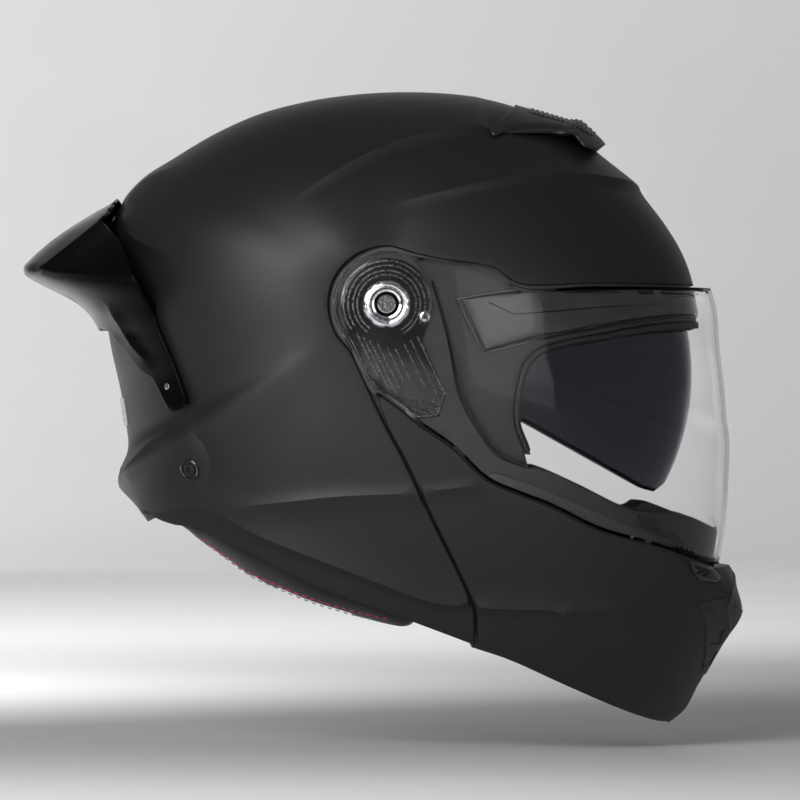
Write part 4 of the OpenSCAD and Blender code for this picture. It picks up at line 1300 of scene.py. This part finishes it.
def sideways(x: float, z: float, y: float, side: int) -> Matrix:
    """Returns the placing, in metres, of a fitting that faces straight out to a side."""
    turn = Matrix.Rotation(math.radians(90 if side < 0 else -90), 4, "X")
    return Matrix.Translation(Vector((x, side * y, z)) * MM) @ turn


def joined(name: str, parts: Sequence[bpy.types.Object]) -> bpy.types.Object:
    """Joins parts into one piece of that name."""
    only(parts[0])
    for obj in parts[1:]:
        obj.select_set(True)
    bpy.ops.object.join()
    parts[0].name = name
    return parts[0]


def bead(name: str, skin: Skin, line: Sequence[tuple], width: float, height: float,
         side: Side = Side.BOTH) -> bpy.types.Object:
    """Lays a raised bead along a line on a skin.

    Args:
        name: Name of the piece.
        skin: The skin it lies on.
        line: The bead's middle line, as flowing() takes it.
        width: Width of the bead.
        height: Height of the bead over the skin.
        side: Which sides it is made on.

    Returns:
        The bead, as one piece.
    """
    chart = skin.chart(flowing(line, closed=False, pitch=0.9))
    surface, normal = skin.points(chart), skin.normals(chart)
    ahead = np.vstack([surface[1:], surface[-1:]])
    behind = np.vstack([surface[:1], surface[:-1]])
    across = unit(np.cross(normal, ahead - behind))
    section = ((-1.0, -0.6), (-0.8, 0.45), (-0.35, 0.95), (0.35, 0.95), (0.8, 0.45), (1.0, -0.6))
    verts: list[np.ndarray] = []
    faces: list[tuple[int, ...]] = []
    for sign in side.signs:
        faces += tube(len(surface), len(section), len(verts), turned=sign < 0)
        for p, u, v in zip(surface, across, normal):
            verts += [(p + u * a * width / 2 + v * b * height) * [1, sign, 1]
                      for a, b in section]
    return smooth_by_angle(repaired(from_rows(name, np.array(verts), faces)), 50)


def thread(name: str, skin: Skin, line: Line, lift: float, length: float = 2.6,
           space: float = 1.7, thick: float = 0.45) -> bpy.types.Object:
    """Sews a line of stitches along both sides of a skin.

    Args:
        name: Name of the piece.
        skin: The skin that is sewn.
        line: The seam's points, as x and z.
        lift: Height of the thread off the skin.
        length: Length of a stitch.
        space: Space between stitches.
        thick: Half thickness of the thread.

    Returns:
        All of the stitches, as one piece.
    """
    drawn = flowing(line, closed=False, pitch=0.5)
    chart = skin.chart(drawn)
    surface, normal = skin.points(chart), skin.normals(chart)
    gaps = np.linalg.norm(np.diff(surface, axis=0), axis=1)
    along = np.concatenate([[0], np.cumsum(gaps)])
    verts: list[np.ndarray] = []
    faces: list[tuple[int, ...]] = []
    shape = ((0.0, 0.35), (0.25, 1.0), (0.75, 1.0), (1.0, 0.35))
    corners = 6
    at = 0.0
    while at + length < along[-1]:
        rows = []
        for share, swell in shape:
            s = at + length * share
            p = np.array([np.interp(s, along, surface[:, k]) for k in range(3)])
            q = np.array([np.interp(s + 0.3, along, surface[:, k]) for k in range(3)])
            n = np.array([np.interp(s, along, normal[:, k]) for k in range(3)])
            across = np.cross(n, q - p)
            across /= max(np.linalg.norm(across), TINY)
            middle = p + n * (lift + thick * (swell - 0.4))
            rows.append([middle + thick * swell * (math.cos(a) * across + math.sin(a) * n)
                         for a in np.linspace(0, 2 * math.pi, corners + 1)[:-1]])
        for side in (-1, 1):
            faces += tube(len(shape), corners, len(verts), turned=side < 0)
            verts += [v * [1, side, 1] for row in rows for v in row]
        at += length + space
    return from_rows(name, np.array(verts), faces)


@dataclass
class Mechanism(Helmet):
    """Pivots of the chin bar and the visor: plates, rings and screws on both sides.

    Attributes:
        rings: Radii of the plate's rings.
        slope: Run of the leg's ribs, in x and z.
        ribs: Where each rib starts, as x and z, and its length in runs.
        hub_y: How far out from the middle the rings and pivot screws sit.
        pin: Where the plate's small screw is, as x and z.
        pin_y: How far out that screw sits.
    """

    rings: tuple[float, ...] = (15.4, 17.6, 20.2, 22.6)
    slope: Point = (11.5, -23.5)
    ribs: tuple[tuple[float, float, float], ...] = (
        (-15.5, -15.5, 0.98), (-12.2, -17.5, 1.12), (-8.8, -19.0, 1.22), (-4.8, -20.5, 1.0),
        (0.2, -22.5, 0.78), (4.6, -23.5, 0.68), (9.0, -20.5, 0.98), (12.4, -18.5, 1.22),
        (16.0, -17.0, 1.3))
    hub_y: float = 124.2
    pin: Point = (20, -6.5)
    pin_y: float = 122.6

    def build(self) -> None:
        """Makes the plates and fittings of both sides."""
        outline = [
            *arc(0, 0, 24.3, -12, 205, 26), *sharp((-20.5, -16.5), (-6.5, -43.5), (16, -60),
            (27.5, -58.8), (31, -46.5), (19, -20)), (21, -14)]
        skin = LEDGE.grown(1.25, 1.15)
        for side, name in ((-1, "right"), (1, "left")):
            where = Side.RIGHT if side < 0 else Side.LEFT
            plate = Panel(f"plate_{name}", skin, outline, roll=0.5, thickness=0.9, pitch=1.6,
                          side=where).build()
            self.dress(plate, "gloss_black", "chin_bar", [f"mechanism_plate_{name}"])
            parts = []
            for k, r in enumerate(self.rings):
                start, end = (-30, 215) if k > 1 else (-60, 235)
                parts.append(bead("rib", skin, arc(0, 0, r, start, end, 40), 1.0, 0.6,
                                  side=where))
            for x, z, share in self.ribs:
                end = (x + self.slope[0] * share, z + self.slope[1] * share)
                parts.append(bead("rib", skin, sharp((x, z), end), 1.0, 0.7, side=where))
            parts.append(bead("rim", skin, sharp(
                (-19.4, -17), (-5.8, -42.6), (16.4, -58.8), (26.6, -57.8), (29.8, -46.6),
                (18.4, -21)), 0.9, 0.7, side=where))
            # Painted highlight: the ribs, gloss black plastic, get a grey metallic material.
            self.dress(joined(f"plate_ribs_{name}", parts), "rib_painted_highlight", "chin_bar",
                       slot="gloss_black")
            foot = Panel(
                f"plate_foot_{name}", skin.grown(0.3),
                [*sharp((4.5, -48), (15.5, -57.8), (25.8, -56.8), (28.6, -48.5), (24, -50.5),
                 (12, -50))], relief=lambda xz: 0.35 * np.sin(xz[:, 0] * 4.1) * np.cos(
                     xz[:, 1] * 4.7), roll=0.3, thickness=0.9, pitch=0.7, side=where).build()
            self.dress(foot, "chrome_dark", "chin_bar", slot="gloss_black")
        self.fittings()

    def fittings(self) -> None:
        """Makes the rings and screws."""
        rings, caps, screws, pins, studs = [], [], [], [], []
        for side in (-1, 1):
            hub = sideways(0, 0, self.hub_y, side)
            rings.append(lathe("ring", [
                (12.5, 0), (12.5, 2.7), (11.7, 3.6), (10.8, 3.7), (10.2, 2.9), (9.5, 2.7),
                (9.0, 3.3), (8.2, 3.3), (7.7, 2.3), (6.6, 2.1), (6.6, 0)], hub, 96, 8, 0.7))
            caps.append(lathe("cap", [
                (6.4, 0), (6.4, 1.5), (5.9, 2.0), (5.5, 1.5), (5.3, 0.2)], hub))
            screws.append(socket("cross", 5.1, 3.3, 2.0, cross(3.2, 1.5), hub
                                 @ Matrix.Rotation(math.radians(40), 4, "Z")))
            pin = sideways(*self.pin, self.pin_y, side)
            pins.append(socket("pin", 2.7, 1.25, 0.6, cross(1.5, 0.6), pin))
            studs.append(lathe("collar", [(3.0, 0), (3.0, 1.2), (2.85, 1.3), (2.72, 1.2),
                                          (2.72, 0)], pin))
        ring = joined("pivot_ring_pair", rings)
        self.dress(ring, "chrome", "helmet", ["pivot_rings"])
        self.dress(joined("pivot_cap_pair", caps), "gloss_black", "helmet")
        self.dress(joined("pivot_screw_pair", screws), "chrome", "helmet", ["pivot_screws"],
                   "steel")
        self.dress(joined("plate_screw_pair", pins + studs), "chrome", "chin_bar",
                   ["plate_screws"])


@dataclass
class Screws(Helmet):
    """Screws on the outside of the shell.

    Attributes:
        side: Where the side screw is, as x and z.
        tip: Where the spoiler's screw is, as x and z.
    """

    side: Point = (-104, -87)
    tip: Point = (-116, -43)

    def build(self) -> None:
        """Makes the side screws and the spoiler's screws."""
        cups, heads, small = [], [], []
        for side in (-1, 1):
            seat = BODY.place(*self.side, side, 0.0)
            cups.append(lathe("cup", [(5.9, -1.0), (5.9, 0.5), (5.4, 0.8), (4.6, 0.5),
                                      (4.4, -0.4), (3.4, -0.6)], seat))
            heads.append(socket("hex", 3.4, 1.5, 0.9, hexagon(1.7), seat
                                @ Matrix.Translation((0, 0, -0.6 * MM))))
            small.append(socket("tip", 1.9, 1.0, 0.5, cross(1.2, 0.45),
                                SPOILER.place(*self.tip, side, -0.4)))
        self.dress(joined("side_cups", cups), "gloss_black", "helmet", ["side_screws"],
                   "screw_black")
        self.dress(joined("side_heads", heads), "screw_black", "helmet")
        self.dress(joined("spoiler_heads", small), "steel", "helmet", ["spoiler_screws"])


@dataclass
class Padding(Helmet):
    """Cloth covered pads and the neck roll, with its two lines of stitching.

    Attributes:
        fill: How full the pads are; not used.
    """

    fill: float = 0.85

    def pad(self, name: str, body: str, node: str, skin: Skin, outline: Sequence[tuple],
            **sizes: object) -> None:
        """Makes one pad in place of a CAD node.

        Args:
            name: Name of the piece.
            body: The body it moves with.
            node: The CAD node it stands for.
            skin: The surface through its middle.
            outline: Its seam, seen from the side.
            **sizes: More fields of the pillow.
        """
        piece = Pillow(name, skin, outline, roll=0, **sizes).build()
        look = "lining_roll" if node == "neck_roll" else "lining"
        self.dress(piece, look, body, [node])

    def build(self) -> None:
        """Makes every pad."""
        mid = HEAD.grown(-3.8)
        self.pad("crown_cushion", "helmet", "crown_pad", mid,
                 [beyond(-92, 45), (-78, 45.5), (-20, 45), (40, 45.5), beyond(97, 45),
                  *sharp((300, 300), (-300, 300))], depth=6.2, edge=12, folds=0.5, pitch=3.4)
        self.pad("brow_cushion", "helmet", "brow_pad", mid,
                 [*sharp((66, 7)), beyond(113, 7), beyond(97, 40), *sharp((66, 40))],
                 depth=5.8, edge=9, folds=0.3, seed=1.3, pitch=3.0)
        self.pad("nape_cushion", "helmet", "nape_pad", mid,
                 sharp((-300, -57), (-71, -57), (-71, 39), (-300, 39)),
                 depth=5.8, edge=9, folds=0.4, seed=2.1, pitch=3.2)
        cheek = [(-48, -90), (-10, -88.5), (28, -89), (39, -84), (49, -74), (57, -76),
                 (62, -86), (56, -117), (41, -137), (18, -143), (-4, -137), (-28, -125),
                 (-46, -114)]
        for side, name in ((Side.RIGHT, "right"), (Side.LEFT, "left")):
            self.pad(f"cheek_{name}", "helmet", f"cheek_pad_{name}",
                     Skin(tuple((a, r - 19) for a, r in LOW.knots), 83, 83), cheek,
                     depth=25, edge=17, folds=0.7, seed=0.7, side=side, pitch=2.8)
        roll_skin = Skin(tuple((a, r - 15) for a, r in LOW.knots), 104.5, 104.5)
        roll = [
            beyond(-130.5, -88), (-118, -95), (-100, -102), (-70, -116), (-30, -135),
            (0, -149), (14, -153), (17, -160), (14, -168), (10, -170), (3, -169.5),
            (-6, -167), (-23, -162), (-39, -157), (-56, -150), (-69, -144), (-83, -134),
            (-94, -126.5), (-102, -119.5), (-118, -110), beyond(-124, -108)]
        self.pad("neck_cushion", "helmet", "neck_roll", roll_skin, roll, depth=19, edge=10,
                 folds=0.35, pitch=2.6)
        for look, dz, lift in (("thread_red", 5.2, 7.9), ("thread_grey", 1.9, 5.0)):
            seam = [(x, z + dz) for x, z in (
                (-92, -127), (-83, -134), (-69, -144), (-56, -150), (-39, -157), (-23, -162),
                (-6, -166.5), (3, -168.3))]
            piece = thread(look, roll_skin, seam, lift)
            self.dress(piece, look, "helmet", slot="lining_roll")


@dataclass
class SunVisor(Helmet):
    """Smoked sun visor.

    Attributes:
        reach: Radius of its outside about its own hinge.
        half_width: Half width of the ellipsoid it is cut from.
        hinge: Where its hinge is, as x and z.
    """

    reach: float = 126.5
    half_width: float = 97.0
    hinge: Point = (38, -36)

    def build(self) -> None:
        """Makes the sun visor."""
        ball = Skin(tuple((a, self.reach) for a in range(0, 361, 30)),
                    self.half_width, self.half_width, 2.0, self.hinge)
        outline = [
            *sharp((31, -50)), (52, -54), *sharp((75, -63), (137, -98), (143, -99.5)),
            (152, -94), *sharp((200, -80), (200, 2), (164, -2)),
            (142, -10), (111, -16), (86, -21), (70, -19), (52, -13), (38, -17), (29, -26),
            (25, -38)]
        piece = Panel("sun_lens", ball, outline, roll=0.6, thickness=2.0, pitch=3.0).build()
        self.dress(piece, "smoke", "sun_visor", ["sun_visor"])


@dataclass
class Straps(Helmet):
    """Chin strap webbing on both sides.

    Attributes:
        x: Middle of the webbing, forward of the pivot axis.
        width: Width of the webbing.
        line: Its middle line, seen from the front, as (y, z) points from rivet to buckle.
    """

    x: float = 54.0
    width: float = 20.0
    line: tuple[Point, ...] = ((98.5, -90), (97.5, -112), (93, -134), (84, -150),
                               (67, -161.5), (46, -167.4), (22, -168))

    def build(self) -> None:
        """Makes the two straps."""
        path = flowing(self.line, closed=False, pitch=2.0)
        d = np.gradient(path, axis=0)
        normal = unit(np.stack([-d[:, 1], d[:, 0]], 1))
        half = self.width / 2
        section = [(-half, 0.0), (-half + 0.6, 0.7), (-half + 2.2, 0.95), (0, 0.8),
                   (half - 2.2, 0.95), (half - 0.6, 0.7), (half, 0.0), (half - 0.6, -0.7),
                   (half - 2.2, -0.95), (0, -0.8), (-half + 2.2, -0.95), (-half + 0.6, -0.7)]
        for side, name in ((-1, "right"), (1, "left")):
            verts = []
            for k, (p, q) in enumerate(zip(path, normal)):
                wave = 0.25 * math.sin(k * 0.55)
                for a, h in section:
                    y, z = p + q * (h + wave * a / half)
                    verts.append((self.x + a, side * y, z))
            faces = tube(len(path), len(section), turned=side > 0)
            obj = repaired(from_rows(f"webbing_{name}", np.array(verts), faces))
            self.dress(smooth_by_angle(obj, 50), "webbing", "helmet", [f"strap_{name}"])


@dataclass(frozen=True)
class Lamp:
    """Square soft light, in metres and watts.

    Attributes:
        name: Its name.
        spot: Where it is.
        size: Length of its side.
        power: Its power.
        aim: The point it faces.
        spread: How wide it shines, in degrees.
    """

    name: str
    spot: tuple[float, float, float]
    size: float
    power: float
    aim: tuple[float, float, float] = (0, 0, -0.03)
    spread: float = 180

    def hang(self) -> None:
        """Puts the light in the scene, out of the camera's sight."""
        data = bpy.data.lights.new(self.name, "AREA")
        data.shape = "SQUARE"
        data.size = self.size
        data.energy = self.power
        data.spread = math.radians(self.spread)
        obj = bpy.data.objects.new(self.name, data)
        obj.location = self.spot
        to = Vector(self.aim) - Vector(self.spot)
        obj.rotation_euler = to.to_track_quat("-Z", "Y").to_euler()
        obj.visible_camera = False
        bpy.context.scene.collection.objects.link(obj)


@dataclass
class Stage:
    """Floor with a curved back, lights and camera, in metres.

    Attributes:
        looks: The materials.
        floor_z: Height of the floor.
        front: Where the floor starts.
        half_width: Half width of the floor.
        wall: Distance of the wall behind, and its height.
        bend: Radius between the floor and the wall.
        eye: Where the camera is.
        seen: Width that the camera sees at the helmet.
        sensor: Width of the camera's sensor, in millimetres.
        lamps: The lights.
    """

    looks: Looks
    floor_z: float = -0.236
    front: float = -7.0
    half_width: float = 8.0
    wall: float = 6.0
    bend: float = 1.4
    eye: tuple[float, float, float] = (0.007, -4.0, -0.0502)
    seen: float = 0.432
    sensor: float = 36.0
    lamps: tuple[Lamp, ...] = (
        Lamp("key", (-1.25, -2.6, 1.0), 1.9, 72),
        Lamp("front", (1.3, -2.8, 0.2), 1.2, 8),
        Lamp("wall", (0.3, 3.2, 2.6), 1.5, 28, (0.2, 6.0, 0.0)),
        Lamp("wall_left", (-1.6, 4.2, 0.3), 1.2, 18, (-1.0, 6.0, 0.0)),
        Lamp("floor", (-0.6, 1.9, 1.1), 1.8, 22, (-0.6, 4.2, -0.24)),
        Lamp("floor_left", (-0.8, 0.6, 0.6), 1.2, 26, (-1.5, 1.3, -0.24)),
        Lamp("near", (-0.4, -0.95, 0.5), 1.2, 2.4, (-0.4, -0.95, -0.24), 60))

    def build(self) -> None:
        """Makes the floor, the lights and the camera."""
        start = self.wall - self.bend
        profile = [(self.front, 0.0), (start, 0.0)]
        profile += [(start + self.bend * math.sin(a), self.bend * (1 - math.cos(a)))
                    for a in np.linspace(0.08, math.pi / 2, 18)]
        profile.append((self.wall, self.wall))
        verts = [(x, y, z + self.floor_z) for x in (-self.half_width, self.half_width)
                 for y, z in profile]
        n = len(profile)
        faces = [(i, n + i, n + i + 1, i + 1) for i in range(n - 1)]
        floor = from_rows("studio_floor", np.array(verts) / MM, faces)
        floor.data.materials.append(self.looks["floor"])
        for lamp in self.lamps:
            lamp.hang()
        world = bpy.data.worlds.new("studio")
        world.use_nodes = True
        sky = world.node_tree.nodes["Background"]
        sky.inputs["Color"].default_value = (0.9, 0.9, 0.91, 1)
        sky.inputs["Strength"].default_value = 0.17
        bpy.context.scene.world = world
        camera = bpy.data.objects.new("camera", bpy.data.cameras.new("camera"))
        bpy.context.scene.collection.objects.link(camera)
        camera.location = self.eye
        camera.rotation_euler = (math.radians(90), 0, 0)
        camera.data.lens = self.sensor * -self.eye[1] / self.seen
        camera.data.dof.use_dof = False
        bpy.context.scene.camera = camera
        bpy.context.scene.view_settings.view_transform = "Standard"


def main() -> None:
    """Builds the whole helmet."""
    logging.basicConfig(level=logging.INFO, format="%(message)s")
    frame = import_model()
    looks = Looks()
    Helmet(frame, looks).paint_frame()
    for part in (Shell, RearSpoiler, TopVent, ChinBar, Visors, SunVisor, Mechanism, Screws,
                 Padding, Straps):
        log.info("building %s", part.__name__)
        part(frame, looks).build()
    Stage(looks).build()
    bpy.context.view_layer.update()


if __name__ == "__main__":
    main()
